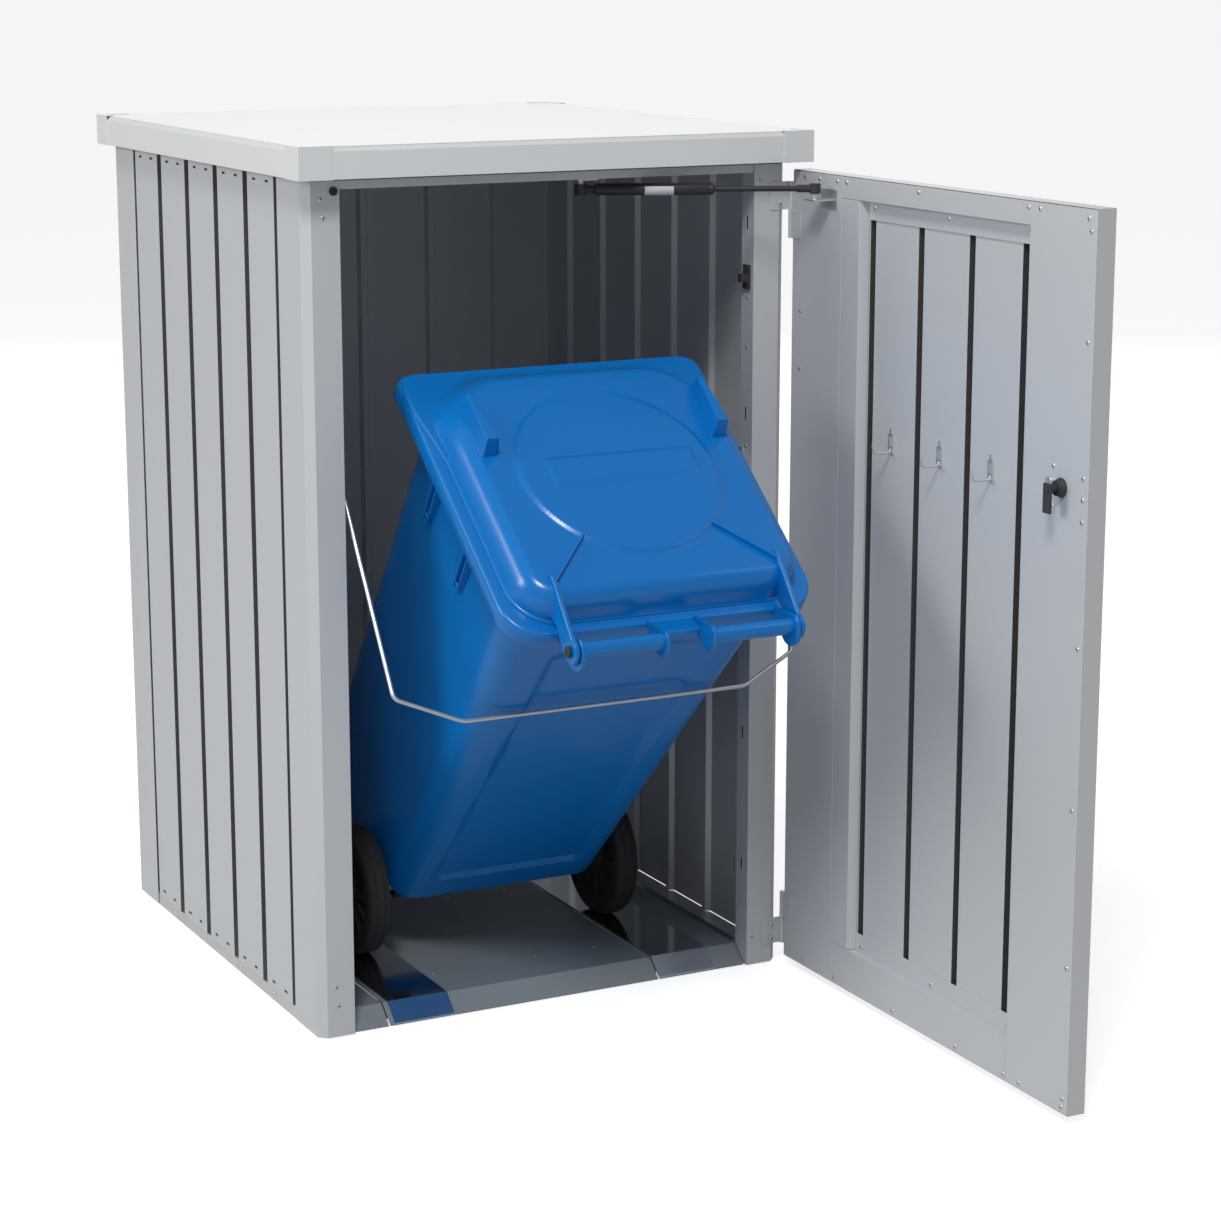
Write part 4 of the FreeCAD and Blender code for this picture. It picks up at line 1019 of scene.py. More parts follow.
@dataclass
class Cabinet:
    """Base, floor, posts, walls and the small fixed parts."""

    hardware: Hardware
    rib_count: int = 5
    slot_long: float = 15 * MM
    slot_wide: float = 4 * MM
    slot_proud: float = 0.1 * MM
    post_slot_inset: float = 18 * MM
    leaf_tall: float = 41 * MM
    rail_inset: float = 40 * MM
    rail_screws: int = 6
    rail_level: float = 10 * MM
    edge: float = 0.6 * MM

    PAINTED = ("post_front_left", "post_rear_left", "post_front_right", "post_rear_right",
               "top_rail_front", "top_rail_rear", "top_rails_side", "post_hinge_leaves",
               "lid_hinge_leaves")
    RAILS = ("base_rails_side", "base_rail_front", "base_rail_rear", "base_cross_rail")
    FLOORS = ("floor_plate_left", "floor_plate_middle", "floor_plate_right")

    def build(self) -> None:
        """Build and dress the whole cabinet."""
        for nodes, finish in ((self.PAINTED, Finish.SILVER), (self.RAILS, Finish.ALUMINIUM),
                              (self.FLOORS, Finish.FLOOR), (("wheel_tracks",), Finish.POLISHED),
                              (("door_catch", "bail_bushes"), Finish.NYLON),
                              (("strut_bracket",), Finish.ZINC), (("door_buffer",), Finish.BUFFER)):
            for node in nodes:
                refined(node, "cabinet", finish, self.edge)
        # The ribbed walls' groove faces get the darker paint, which is painted shade.
        for node, outward in (("side_panel_left", (-1, 0, 0)), ("side_panel_right", (1, 0, 0)),
                              ("rear_panel", (0, 1, 0))):
            refined(node, "cabinet", Finish.SILVER, 0.0, Vector(outward))
        self.add_wall_slots()
        self.add_post_slots()
        self.add_screws()

    def add_wall_slots(self) -> None:
        """Add pairs of vent slots at the top and bottom of every wall strip."""
        low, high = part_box("side_panel_left")
        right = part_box("side_panel_right")[1].x
        start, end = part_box("post_front_left")[1].y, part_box("post_rear_left")[0].y
        pitch = (end - start) / self.rib_count
        spots = []
        for strip in range(self.rib_count):
            for side in (-1, 1):
                along = start + pitch * (strip + 0.5) + side * pitch * 0.2
                spots += [(along, low.z + 12 * MM), (along, high.z - 8 * MM)]
        for name, x, towards in (("wall_slots_left", low.x - self.slot_proud, Towards.LEFT),
                                 ("wall_slots_right", right + self.slot_proud, Towards.RIGHT)):
            points = [Vector((x, along, z)) for along, z in spots]
            self.hardware.openings(name, points, towards, "cabinet", self.slot_wide, self.slot_long)

    def add_post_slots(self) -> None:
        """Add the slots and screws on the inner face of the right front post."""
        low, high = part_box("post_front_right")
        slots, holes = ([Vector((low.x - self.slot_proud, low.y + self.post_slot_inset,
                                 mixed(low.z, high.z, share))) for share in shares]
                        for shares in ((0.13, 0.30, 0.52, 0.61, 0.70, 0.93),
                                       (0.08, 0.22, 0.40, 0.66, 0.78, 0.84)))
        self.hardware.openings("post_slots", slots, Towards.LEFT, "cabinet", 22 * MM, 5 * MM)
        self.hardware.heads("post_inner_screws", holes, Towards.LEFT, "cabinet", radius=2.8 * MM)

    def add_screws(self) -> None:
        """Add every screw that shows on the posts, hinge leaves, base and floor."""
        post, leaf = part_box("post_front_left"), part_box("post_hinge_leaves")
        face, top = post[0].y, post[1].z
        left = post[0].x + 26 * MM
        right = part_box("post_front_right")[1].x - 46 * MM
        spots = [(left, top - 24 * MM), (left + 3 * MM, top - 50 * MM), (left, 77 * MM),
                 (left + 3 * MM, 48 * MM), (right, top - 24 * MM), (right, 48 * MM)]
        front = [Vector((x, face, z)) for x, z in spots]
        x, y = leaf[0].x + 14 * MM, leaf[0].y + 2.2 * MM
        front += [Vector((x, y, z)) for z in leaf_levels(leaf, self.leaf_tall)]
        self.hardware.heads("cabinet_heads", front, Towards.FRONT, "cabinet", ["cabinet_screws"])
        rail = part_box("base_rails_side")
        start, end = rail[0].y + self.rail_inset, rail[1].y - self.rail_inset
        along = [mixed(start, end, k / (self.rail_screws - 1)) for k in range(self.rail_screws)]
        for name, x, towards in (("rail_heads_left", rail[0].x, Towards.LEFT),
                                 ("rail_heads_right", rail[1].x, Towards.RIGHT)):
            points = [Vector((x, y, self.rail_level)) for y in along]
            self.hardware.heads(name, points, towards, "cabinet", radius=2.2 * MM)
        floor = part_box("floor_plate_middle")
        grid = [Vector((x, y, floor[1].z)) for x in (-0.15, 0.02, 0.12) for y in (-0.27, 0.05, 0.32)]
        self.hardware.heads("floor_heads", grid, Towards.UP, "cabinet", radius=3.0 * MM)


@dataclass
class CabinetLid:
    """The lid's rims, corner caps and top sheet."""

    edge: float = 0.8 * MM

    def build(self) -> None:
        """Refine every lid piece."""
        # The rims, top sheet and corner caps take the lighter lid paint, which is painted light for the
        # lid top.
        for side in ("front", "rear", "left", "right"):
            refined(f"lid_rim_{side}", "lid", Finish.LID, self.edge)
        refined("lid_sheet", "lid", Finish.LID, 0.4 * MM)
        refined("lid_corners", "lid", Finish.LID, self.edge)
        refined("lid_hinge_flaps", "lid", Finish.SILVER, 0.5 * MM)


# ------------------------------------------------------------------ the door

@dataclass
class Door:
    """The door's sheets, its cover strips, hooks and screws."""

    hardware: Hardware
    strip_tall: float = 27 * MM
    strip_front: float = 2.2 * MM
    strip_back: float = 0.2 * MM
    infill_depth: float = 15 * MM
    hook_reach: float = 30 * MM
    hook_inset: float = 7 * MM
    hook_wire: float = 2.1 * MM
    leaf_tall: float = 41 * MM

    SHEETS = ("door_skin", "door_hinge_stile", "door_lock_stile", "door_top_rail", "door_bottom_rail",
              "door_jamb", "door_hinge_leaves")

    def build(self) -> None:
        """Build and dress the door."""
        for node in self.SHEETS:
            refined(node, "door", Finish.SILVER, 0.6 * MM)
        # The infill's groove faces get the darker paint, which is painted shade.
        refined("door_infill", "door", Finish.SILVER, 0.0, Vector((-1, 0, 0)))
        refined("door_strut_bracket", "door", Finish.ZINC, 0.6 * MM)
        self.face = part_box("door_hinge_stile")[0].x
        self.add_strips()
        self.add_hooks()
        self.add_screws()
        self.add_lock_case()

    def add_strips(self) -> None:
        """Add the flat strips that cover the ends of the infill's ribs."""
        start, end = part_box("door_lock_stile")[1].y + 0.5 * MM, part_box("door_jamb")[0].y - 1 * MM
        x = self.face + self.infill_depth
        for name, z in (("top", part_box("door_top_rail")[0].z - self.strip_tall),
                        ("bottom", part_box("door_bottom_rail")[1].z)):
            shape = Shape().block((x - self.strip_front, start, z),
                                  (x - self.strip_back, end, z + self.strip_tall))
            settle(bevelled(shape.build(f"infill_strip_{name}"), 0.5 * MM), Finish.SILVER, "door")

    def add_hooks(self) -> None:
        """Add three zinc hooks: a slotted back plate and a bent arm."""
        low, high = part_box("door_hooks")
        reach = self.hook_reach
        path = [Vector((0.0, 0.0, 1.0 * MM))]
        path += [Vector((-reach * share, 0.0, -4.5 * MM)) for share in (0.10, 0.3, 0.6, 0.82)]
        path += [Vector((-reach * share, 0.0, level * MM)) for share, level in
                 ((0.94, -2.0), (1.0, 3.0), (1.02, 9.0))]
        hook = Shape().bar(path, self.hook_wire, 10)
        hook.block((-1.8 * MM, -6.0 * MM, -7 * MM), (0.0, 6.0 * MM, 22 * MM))
        hook.block((-4.5 * MM, -2.0 * MM, 4 * MM), (-1.0 * MM, 2.0 * MM, 18 * MM))
        hook.block((-1.6 * MM, -2.2 * MM, 22 * MM), (0.0, 2.2 * MM, 30 * MM))
        pattern = bevelled(hook.build("hook_pattern"), 0.5 * MM)
        first, last = high.y - self.hook_inset, low.y + self.hook_inset
        points = [Vector((high.x, mixed(first, last, share), low.z + 4 * MM)) for share in (0.0, 0.5, 1.0)]
        made = self.hardware.copies.grown("tool_hooks", points, {
            "Piece": pattern, "Facing": Towards.UP.value, "Metal": Finish.ZINC.material()})
        bpy.data.objects.remove(pattern)
        settle(made, Finish.ZINC, "door", ["door_hooks"])

    def add_screws(self) -> None:
        """Add pan heads along the frame, beside the lock and on the hinge leaves."""
        low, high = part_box("door_skin")
        upper, lower = high.z - 9 * MM, low.z + 10 * MM
        edge, hinge_side = low.y + 11 * MM, high.y - 24 * MM
        spots = [(edge + 6 * MM, upper - 4 * MM), (edge, upper - 20 * MM)]
        spots += [(edge, mixed(low.z, high.z, share))
                  for share in (0.86, 0.715, 0.692, 0.668, 0.53, 0.35, 0.17)]
        spots += [(edge, lower + 12 * MM), (edge + 2 * MM, lower)]
        for z, shares in ((upper, (0.045, 0.10, 0.165, 0.20, 0.45, 0.80, 0.835)),
                          (lower, (0.08, 0.20, 0.42, 0.64, 0.80, 0.85))):
            spots += [(mixed(high.y, low.y, share), z) for share in shares]
        spots += [(hinge_side, mixed(low.z, high.z, share)) for share in (0.76, 0.83)]
        heads = [Vector((self.face, y, z)) for y, z in spots]
        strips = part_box("door_infill")
        depth = self.face + self.infill_depth - self.strip_front
        for z in (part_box("door_top_rail")[0].z - 9 * MM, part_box("door_bottom_rail")[1].z + 9 * MM):
            heads += [Vector((depth, mixed(strips[1].y, strips[0].y, share), z))
                      for share in (0.14, 0.55, 0.97)]
        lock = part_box("lock_case")
        middle, beside = (lock[0].z + lock[1].z) / 2, lock[1].y + 2 * MM
        heads += [Vector((self.face, beside, middle + rise)) for rise in (26 * MM, -26 * MM)]
        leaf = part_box("door_hinge_leaves")
        x, y = leaf[0].x + 4.2 * MM, leaf[0].y + 12 * MM
        heads += [Vector((x, y, z)) for z in leaf_levels(leaf, self.leaf_tall)]
        self.hardware.heads("door_heads", heads, Towards.LEFT, "door", ["door_screws"])

    def add_lock_case(self) -> None:
        """Add the zinc striker tab and the black escutcheon beside the keyhole."""
        low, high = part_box("lock_case")
        middle = (low + high) / 2

        def put(depth: float, y: float, z: float) -> Vector:
            """Return a place beside the keyhole, with the depth measured out of the door."""
            return Vector((high.x + depth, middle.y + y, middle.z + z))

        tab = [(-7 * MM, -11 * MM), (7 * MM, -11 * MM)] + arc((0.0, 3 * MM), 7 * MM, 0.0, 180.0, 12)
        shape = Shape().plate([(y + 25 * MM, z + 1 * MM) for y, z in tab], -3.0 * MM, -0.2 * MM, put)
        settle(bevelled(shape.build("lock_tab"), 0.8 * MM), Finish.ZINC, "door")
        rose = [(0.0, 13 * MM), (-2.0 * MM, 13 * MM), (-5.0 * MM, 11 * MM), (-9.5 * MM, 10 * MM),
                (-9.5 * MM, 5.1 * MM), (0.0, 5.1 * MM)]
        turned = Shape().turned(rose, put)
        settle(bevelled(turned.build("lock_rose"), 0.4 * MM), Finish.NYLON, "door", ["lock_case"])


@dataclass
class DoorLock:
    """The lock's turning cam and its outer grip."""

    def build(self) -> None:
        """Dress the two turning pieces."""
        refined("lock_cam", "lock", Finish.NYLON, 0.8 * MM)
        refined("lock_grip", "lock", Finish.NYLON, 1.5 * MM)


# ------------------------------------------------------------------ the strut and the bail

def joint(name: str) -> dict[str, object]:
    """Return one of the design's joints by its name."""
    return next(one for one in frame["joints"] if one["name"] == name)


@dataclass
class GasStrut:
    """The gas strut, turned about its own line."""

    barrel_radius: float = 8.5 * MM
    rod_radius: float = 4.0 * MM
    barrel_start: float = 18.8 * MM
    barrel_long: float = 172 * MM
    rod_start: float = 148 * MM
    core: float = 0.4 * MM

    def build(self) -> None:
        """Build the barrel, its label, the rod and both ends."""
        self.base = Vector(joint("strut_swing")["pos_m"])
        self.along = Vector(joint("strut_extend")["axis"]).normalized()
        self.side = Vector((-self.along.y, self.along.x, 0.0))
        low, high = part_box("strut_socket")
        middle = Vector(((low.x + high.x) / 2, (low.y + high.y) / 2, self.base.z))
        self.span = (middle - self.base).length + 13 * MM
        self.add_barrel()
        self.add_rod()
        refined("strut_eye", "strut_barrel", Finish.ENAMEL, 0.6 * MM)
        refined("strut_socket", "strut_piston", Finish.NYLON, 1.0 * MM)

    def put(self, along: float, across: float, up: float) -> Vector:
        """Return the place at a distance along, across and above the strut's line."""
        return self.base + self.along * along + self.side * across + Vector((0.0, 0.0, up))

    def add_barrel(self) -> None:
        """Add the black cylinder with its necked end and a plain label."""
        start, end = self.barrel_start, self.barrel_start + self.barrel_long
        radius, bore = self.barrel_radius, self.rod_radius + 0.06 * MM
        profile = [(start, 2 * MM), (start, radius - 3 * MM), (start + 2 * MM, radius - 0.6 * MM),
                   (start + 4 * MM, radius), (end - 12 * MM, radius), (end - 10 * MM, radius - 0.8 * MM),
                   (end - 8 * MM, radius - 0.8 * MM), (end - 7 * MM, radius), (end - 3 * MM, radius),
                   (end, radius - 2.5 * MM), (end, bore), (start + 12 * MM, bore),
                   (start + 12 * MM, 2 * MM)]
        shape = Shape().turned(profile, self.put, 36)
        settle(shape.build("strut_barrel_turned", 30.0), Finish.ENAMEL, "strut_barrel", ["strut_cylinder"])
        band = arc((0.0, 0.0), radius + 0.25 * MM, 150.0, 280.0, 13)
        rows = [[self.put(start + share * self.barrel_long, *spot) for spot in band]
                for share in (0.42, 0.66)]
        label = Shape().grid(rows).build("strut_label")
        settle(walled(label, 0.15 * MM), Finish.LABEL, "strut_barrel")

    def add_rod(self) -> None:
        """Add the polished rod."""
        start, end, radius = self.rod_start, self.span - 12 * MM, self.rod_radius
        profile = [(start, self.core), (start, radius - 0.5 * MM), (start + 0.5 * MM, radius),
                   (end, radius), (end, self.core)]
        shape = Shape().turned(profile, self.put, 24)
        settle(shape.build("strut_rod_turned", 30.0), Finish.ENAMEL, "strut_piston", ["strut_rod"])


@dataclass
class Bail:
    """The bent wire that holds the leaning bin."""

    def build(self) -> None:
        """Smooth and dress the wire."""
        refined("bail_wire", "bail", Finish.WIRE, 0.0)


# ------------------------------------------------------------------ the bin

@dataclass
class BinPlaces:
    """Where the leaning bin's parts are, in its own upright coordinates."""

    foot: float = -60 * MM
    top: float = 803 * MM
    back_top: float = -30 * MM
    slope: float = math.radians(6.4)
    tilt: float = math.radians(45.0)
    pin: Point = (-109 * MM, 827 * MM)

    def __post_init__(self) -> None:
        """Read the axle's place from the design."""
        self.axle = Vector(joint("bin_tilt")["pos_m"])

    def put(self, x: float, a: float, b: float) -> Vector:
        """Return the place of an upright point once the bin leans."""
        return self.axle + Vector((x, a * math.cos(self.tilt) - b * math.sin(self.tilt),
                                   a * math.sin(self.tilt) + b * math.cos(self.tilt)))

    def on_rim(self, x: float, v: float, h: float) -> Vector:
        """Return the place at a distance along the sloping rim plane and a height above it."""
        return self.put(x, self.back_top + v * math.cos(self.slope) + h * math.sin(self.slope),
                        self.top - v * math.sin(self.slope) + h * math.cos(self.slope))

    def rim_level(self, a: float) -> float:
        """Return the rim plane's b at a depth a."""
        return self.top - (a - self.back_top) * math.tan(self.slope)


@dataclass
class BinBody:
    """The trunk, the rim, the handle and its ears, moulded as one."""

    places: BinPlaces
    foot_half: float = 172 * MM
    top_half: float = 212 * MM
    near_foot: float = -53 * MM
    far_foot: float = 274 * MM
    far_top: float = 362 * MM
    near_top: float = -32 * MM
    corner: float = 44 * MM
    step_near: float = 25 * MM
    step_top: float = 40 * MM
    wall: float = 3 * MM
    rim_half: float = 236 * MM
    rim_near: float = -40 * MM
    rim_far: float = 440 * MM
    skirt: float = 25 * MM
    handle_half: float = 166 * MM
    gap_half: float = 38 * MM
    bar_radius: float = 11.6 * MM
    panel_half: float = 128 * MM
    panel_low: float = 85 * MM
    panel_high: float = 690 * MM
    panel_deep: float = 6 * MM
    panel_edge: float = 9 * MM
    levels: int = 84

    def build(self) -> None:
        """Build the body's meshes as one piece and its small black parts."""
        trunk = self.trunk().build("bin_trunk", 30.0)
        settle(walled(trunk, self.wall), Finish.BLUE, "bin", ["bin_body"])
        settle(self.rim().build("bin_rim", 50.0), Finish.BLUE, "bin")
        settle(bevelled(self.handles().build("bin_handles", 30.0), 1.6 * MM, 3), Finish.BLUE, "bin")
        settle(bevelled(self.stub_ribs().build("bin_stub_ribs"), 0.8 * MM), Finish.BLUE, "bin")
        refined("bin_axle", "bin", Finish.WIRE, 1.0 * MM)
        refined("bin_axle_brackets", "bin", Finish.NYLON, 2.0 * MM)
        refined("bin_lid_pins", "bin", Finish.NYLON, 1.0 * MM)

    def section(self, share: float, near: float) -> list[Vector]:
        """Return the trunk's outline at a share of its height.

        Args:
            share: 0 at the foot and 1 at the rim.
            near: the outline's near edge.

        Returns:
            The ring of places, leaned.
        """
        half = mixed(self.foot_half, self.top_half, share)
        far = mixed(self.far_foot, self.far_top, share)
        ring = []
        for x, a in rounded_outline(half, near, far, self.corner, self.corner, 44, 8):
            level = mixed(self.places.foot, self.places.rim_level(a) - 1 * MM, share)
            ring.append(self.places.put(x, a + self.panel(x, a - near, level), level))
        return ring

    def panel(self, x: float, inside: float, level: float) -> float:
        """Return how far the shallow panel presses in a point of the trunk.

        Args:
            x: the point's place across the bin.
            inside: its distance from the near wall.
            level: its height.

        Returns:
            The distance, 0 away from the near wall.
        """
        if inside > 1 * MM:
            return 0.0
        depth = self.panel_deep
        for reach in (self.panel_half - abs(x), level - self.panel_low, self.panel_high - level):
            depth *= smooth_step(0.0, self.panel_edge, reach)
        return depth

    def trunk(self) -> Shape:
        """Make the tapered trunk, stepped back over the axle, with a closed foot.

        Returns:
            The shape, open at its mouth.
        """
        tall = self.places.top - self.places.foot
        step = (self.step_top - self.places.foot) / tall
        rings = [self.section(share, self.step_near) for share in (0.0, step * 0.5, step * 0.97)]
        for number in range(self.levels + 1):
            share = mixed(step, 1.0, number / self.levels)
            rings.append(self.section(share, mixed(self.near_foot, self.near_top, share)))
        centre = sum(rings[0], Vector()) / len(rings[0])
        inner = [point.lerp(centre, 0.5) for point in rings[0]]
        return Shape().grid([[centre] * len(inner), inner, *rings], around=True)

    def rim(self) -> Shape:
        """Make the flange round the mouth, with a turned-down skirt.

        Returns:
            The shape.
        """
        outline = rounded_outline(self.rim_half, self.rim_near, self.rim_far, 58 * MM, 36 * MM, 24, 12)
        ways = outward_ways(outline)
        deep, gauge = self.skirt, 3 * MM
        section = [(-31 * MM, 0.0), (-5 * MM, 0.0), (-2.6 * MM, -0.5 * MM), (-0.8 * MM, -2.0 * MM),
                   (0.0, -4.4 * MM), (1.5 * MM, -deep + 1 * MM), (0.9 * MM, -deep),
                   (-1.2 * MM, -deep), (-gauge, -5 * MM), (-6 * MM, -gauge), (-31 * MM, -gauge)]
        rows = []
        for (x, v), (way_x, way_v) in zip(outline, ways):
            lip = self.flare(x, v)
            reaches = [(out + lip * (out > -6 * MM), up) for out, up in section]
            rows.append([self.places.on_rim(x + way_x * reach, v + way_v * reach, up)
                         for reach, up in reaches])
        return Shape().grid(rows, around=True, along=True)

    def flare(self, x: float, v: float) -> float:
        """Return how far the rim flares out, at its two far corners."""
        return 9 * MM * smooth_step(0.40, 0.43, v) * smooth_step(0.19, 0.225, abs(x))

    def handles(self) -> Shape:
        """Make the two bars, the four ear plates and the web between the middle ears.

        Returns:
            The shape.
        """
        shape = Shape()
        pin = self.places.pin
        reach, middle = self.handle_half, self.gap_half
        for low, high in ((-reach, -middle + 3 * MM), (middle - 3 * MM, reach)):
            shape.bar([self.places.put(x, *pin) for x in (low, high)], self.bar_radius, 28)
        ear = self.ear(20 * MM, (-5 * MM, 25 * MM, 14), (32 * MM, -66 * MM, 34 * MM), 742 * MM)
        small = self.ear(17 * MM, (-4 * MM, 20 * MM, 12), (28 * MM, -52 * MM, 28 * MM), 752 * MM)
        plates = ((-reach, 6 * MM, ear), (reach - 6 * MM, 6 * MM, ear), (-middle, 5 * MM, small),
                  (middle - 5 * MM, 5 * MM, small))
        for start, gauge, outline in plates:
            shape.plate(outline, start, start + gauge, self.places.put)
        web = [(-62 * MM, 801 * MM), (-62 * MM, 805 * MM), (-90 * MM, 816 * MM), (-93 * MM, 812 * MM)]
        return shape.plate(web, -middle + 4 * MM, middle - 4 * MM, self.places.put)

    def ear(self, head: float, cheek: tuple[float, float, int], throat: tuple[float, float, float],
            foot: float) -> list[Point]:
        """Return the outline of an ear plate round the handle's bar.

        Args:
            head: the radius over the bar.
            cheek: the drop, radius and steps of the arc under the bar.
            throat: the offset along and up from the bar, and the radius, of the hollow arc.
            foot: the height at which the plate meets the trunk.

        Returns:
            The outline's corners.
        """
        along, up = self.places.pin
        edge = self.near_top + 2 * MM
        return [*arc((along, up), head, 75.0, 150.0, 8),
                *arc((along, up + cheek[0]), cheek[1], 160.0, 285.0, cheek[2]),
                *arc((along + throat[0], up + throat[1]), throat[2], 112.0, 60.0, 8),
                (edge, foot), (edge, 800 * MM), (-62 * MM, 806 * MM)]

    def stub_ribs(self) -> Shape:
        """Make the short twin ribs under the rim on both sides of the trunk.

        Returns:
            The shape.
        """
        shape = Shape()
        fin = [(0.0, 0.0), (17 * MM, 0.0), (9 * MM, -112 * MM), (0.0, -118 * MM)]
        cross = [(0.0, -100 * MM), (8.5 * MM, -100 * MM), (8.0 * MM, -106 * MM), (0.0, -106 * MM)]
        for side in (-1, 1):
            def put(a: float, out: float, down: float) -> Vector:
                """Return a place on this side's wall, below the rim."""
                level = self.places.rim_level(a) - 20 * MM + down
                return self.places.put(side * (self.side_at(down) + out), a, level)

            for near in (105 * MM, 232 * MM):
                for start in (near, near + 13 * MM):
                    shape.plate(fin, start, start + 3 * MM, put)
                shape.plate(cross, near, near + 16 * MM, put)
        return shape

    def side_at(self, down: float) -> float:
        """Return the half width of the trunk a little inside its wall, below the rim."""
        tall = self.places.top - self.places.foot
        return mixed(self.top_half, self.foot_half, (20 * MM - down) / tall) - 1.5 * MM


@dataclass
class BinLid:
    """The domed lid with its disc, grips, ribs and arms."""

    places: BinPlaces
    half: float = 217 * MM
    near: float = -22 * MM
    far: float = 438 * MM
    flat: float = 3.5 * MM
    dome: float = 43 * MM
    disc: tuple[float, float, float] = (0.0, 195 * MM, 149 * MM)
    disc_rise: float = 4.5 * MM
    arm_start: float = 167.8 * MM
    arm_gauge: float = 6.5 * MM
    rows: int = 150
    columns: int = 150

    def build(self) -> None:
        """Build the lid's shell and what is moulded on it."""
        shell = self.shell().build("bin_lid_shell", 60.0)
        settle(walled(shell, 2.6 * MM), Finish.BLUE, "bin_lid", ["bin_lid"])
        settle(bevelled(self.arms().build("bin_lid_arms", 30.0), 1.4 * MM, 3), Finish.BLUE, "bin_lid")
        settle(bevelled(self.ribs().build("bin_lid_ribs", 30.0), 1.2 * MM, 2), Finish.BLUE, "bin_lid")
        grips = walled(self.grips().build("bin_lid_grips", 30.0), 2.4 * MM)
        settle(bevelled(grips, 1.0 * MM, 2), Finish.BLUE, "bin_lid")

    def half_at(self, v: float) -> float:
        """Return half the lid's width, with its rounded corners.

        Args:
            v: the distance along the lid.

        Returns:
            The half width.
        """
        half = mixed(self.half, self.half + 17 * MM, smooth_step(0.26, 0.40, v))
        for edge, radius, sign in ((self.near, 62 * MM, 1), (self.far, 26 * MM, -1)):
            inside = (v - edge) * sign
            if inside < radius:
                half -= radius - math.sqrt(max(0.0, radius ** 2 - (radius - inside) ** 2))
        return half

    def rise(self, x: float, v: float) -> float:
        """Return the lid's height above the rim plane.

        Args:
            x: the place across the lid.
            v: the distance along the lid.

        Returns:
            The height.
        """
        radius = 100 * MM if v > 0.2 else 60 * MM
        half, near, far = 214 * MM, self.near + 1 * MM, self.far - 4 * MM
        out_x = abs(x) - half + radius
        out_v = abs(v - (near + far) / 2) - (far - near) / 2 + radius
        outside = math.hypot(max(out_x, 0.0), max(out_v, 0.0)) + min(max(out_x, out_v), 0.0) - radius
        soft = smooth_step(0.27, 0.42, v)
        shoulder = mixed(26 * MM, 66 * MM, soft)
        share = min(1.0, max(0.0, -outside / shoulder))
        round_up = math.sqrt(1.0 - (1.0 - share) ** 2)
        swell = mixed(round_up, share * share * (3.0 - 2.0 * share), soft)
        crown = 4 * MM * (1.0 - (x / half) ** 2) * swell
        return self.flat + self.dome * swell + crown - 4 * MM * swell + self.emboss(x, v)

    def emboss(self, x: float, v: float) -> float:
        """Return the extra height of the raised disc and of the plain plate on it.

        Args:
            x: the place across the lid.
            v: the distance along the lid.

        Returns:
            The extra height.
        """
        centre_x, centre_v, radius = self.disc
        step = radius - math.hypot(x - centre_x, v - centre_v)
        disc = self.disc_rise * smooth_step(-3.5 * MM, 3.5 * MM, step) * smooth_step(0.36, 0.24, v)
        disc = disc if v < 0.36 else 0.0
        inside = min(112 * MM - abs(x - 8 * MM), 24 * MM - abs(v - 198 * MM))
        return disc + 2.2 * MM * smooth_step(-2 * MM, 2 * MM, inside)

    def shell(self) -> Shape:
        """Make the lid's upper surface with its turned-down edge.

        Returns:
            The shape, without its wall.
        """
        grid = []
        for number in range(self.rows + 1):
            share = number / self.rows
            eased = 0.72 * share + 0.28 * (1.0 - math.cos(math.pi * share)) / 2
            v = mixed(self.near, self.far, eased)
            half = self.half_at(v)
            spread = [2.0 * column / self.columns - 1.0 for column in range(self.columns + 1)]
            grid.append([(half * (0.62 * across + 0.38 * math.sin(across * math.pi / 2)), v)
                         for across in spread])
        shape = Shape().grid([[self.places.on_rim(x, v, self.rise(x, v)) for x, v in row] for row in grid])
        edge = [*grid[0], *[row[-1] for row in grid[1:]], *reversed(grid[-1][:-1]),
                *[row[0] for row in reversed(grid[1:-1])]]
        ways = outward_ways(edge)
        rings = []
        for out, up in ((0.0, None), (1.6 * MM, 2.2 * MM), (2.2 * MM, 0.0), (2.4 * MM, -9 * MM)):
            ring = []
            for (x, v), way in zip(edge, ways):
                low = smooth_step(0.36, 0.43, v) * smooth_step(0.19, 0.22, abs(x))
                if up is None:
                    level = self.rise(x, v)
                else:
                    level = max(up, 1.2 * MM) if up > -1 * MM else up * low + 1 * MM
                ring.append(self.places.on_rim(x + way[0] * out, v + way[1] * out, level))
            rings.append(ring)
        return shape.grid(rings, around=True)

    def grips(self) -> Shape:
        """Make the two hollow wedge grips, open at their far ends.

        Returns:
            The shape, without its wall.
        """
        shape = Shape()
        for side in (-1, 1):
            sections = []
            for v, foot_in, foot_out, top_in, top_out, tall in (
                    (241 * MM, 163, 193, 169, 188, 0.0), (248 * MM, 165, 192, 170, 187, 31.0),
                    (338 * MM, 171, 191, 177, 185, 25.0)):
                top = 42 * MM + tall * MM
                sections.append([self.places.on_rim(side * x * MM, v, h) for x, h in
                                 ((foot_in, 36 * MM), (top_in, top), (top_out, top), (foot_out, 36 * MM))])
            shape.grid([sections[0], sections[1]]).grid([sections[1], sections[2]])
        return shape

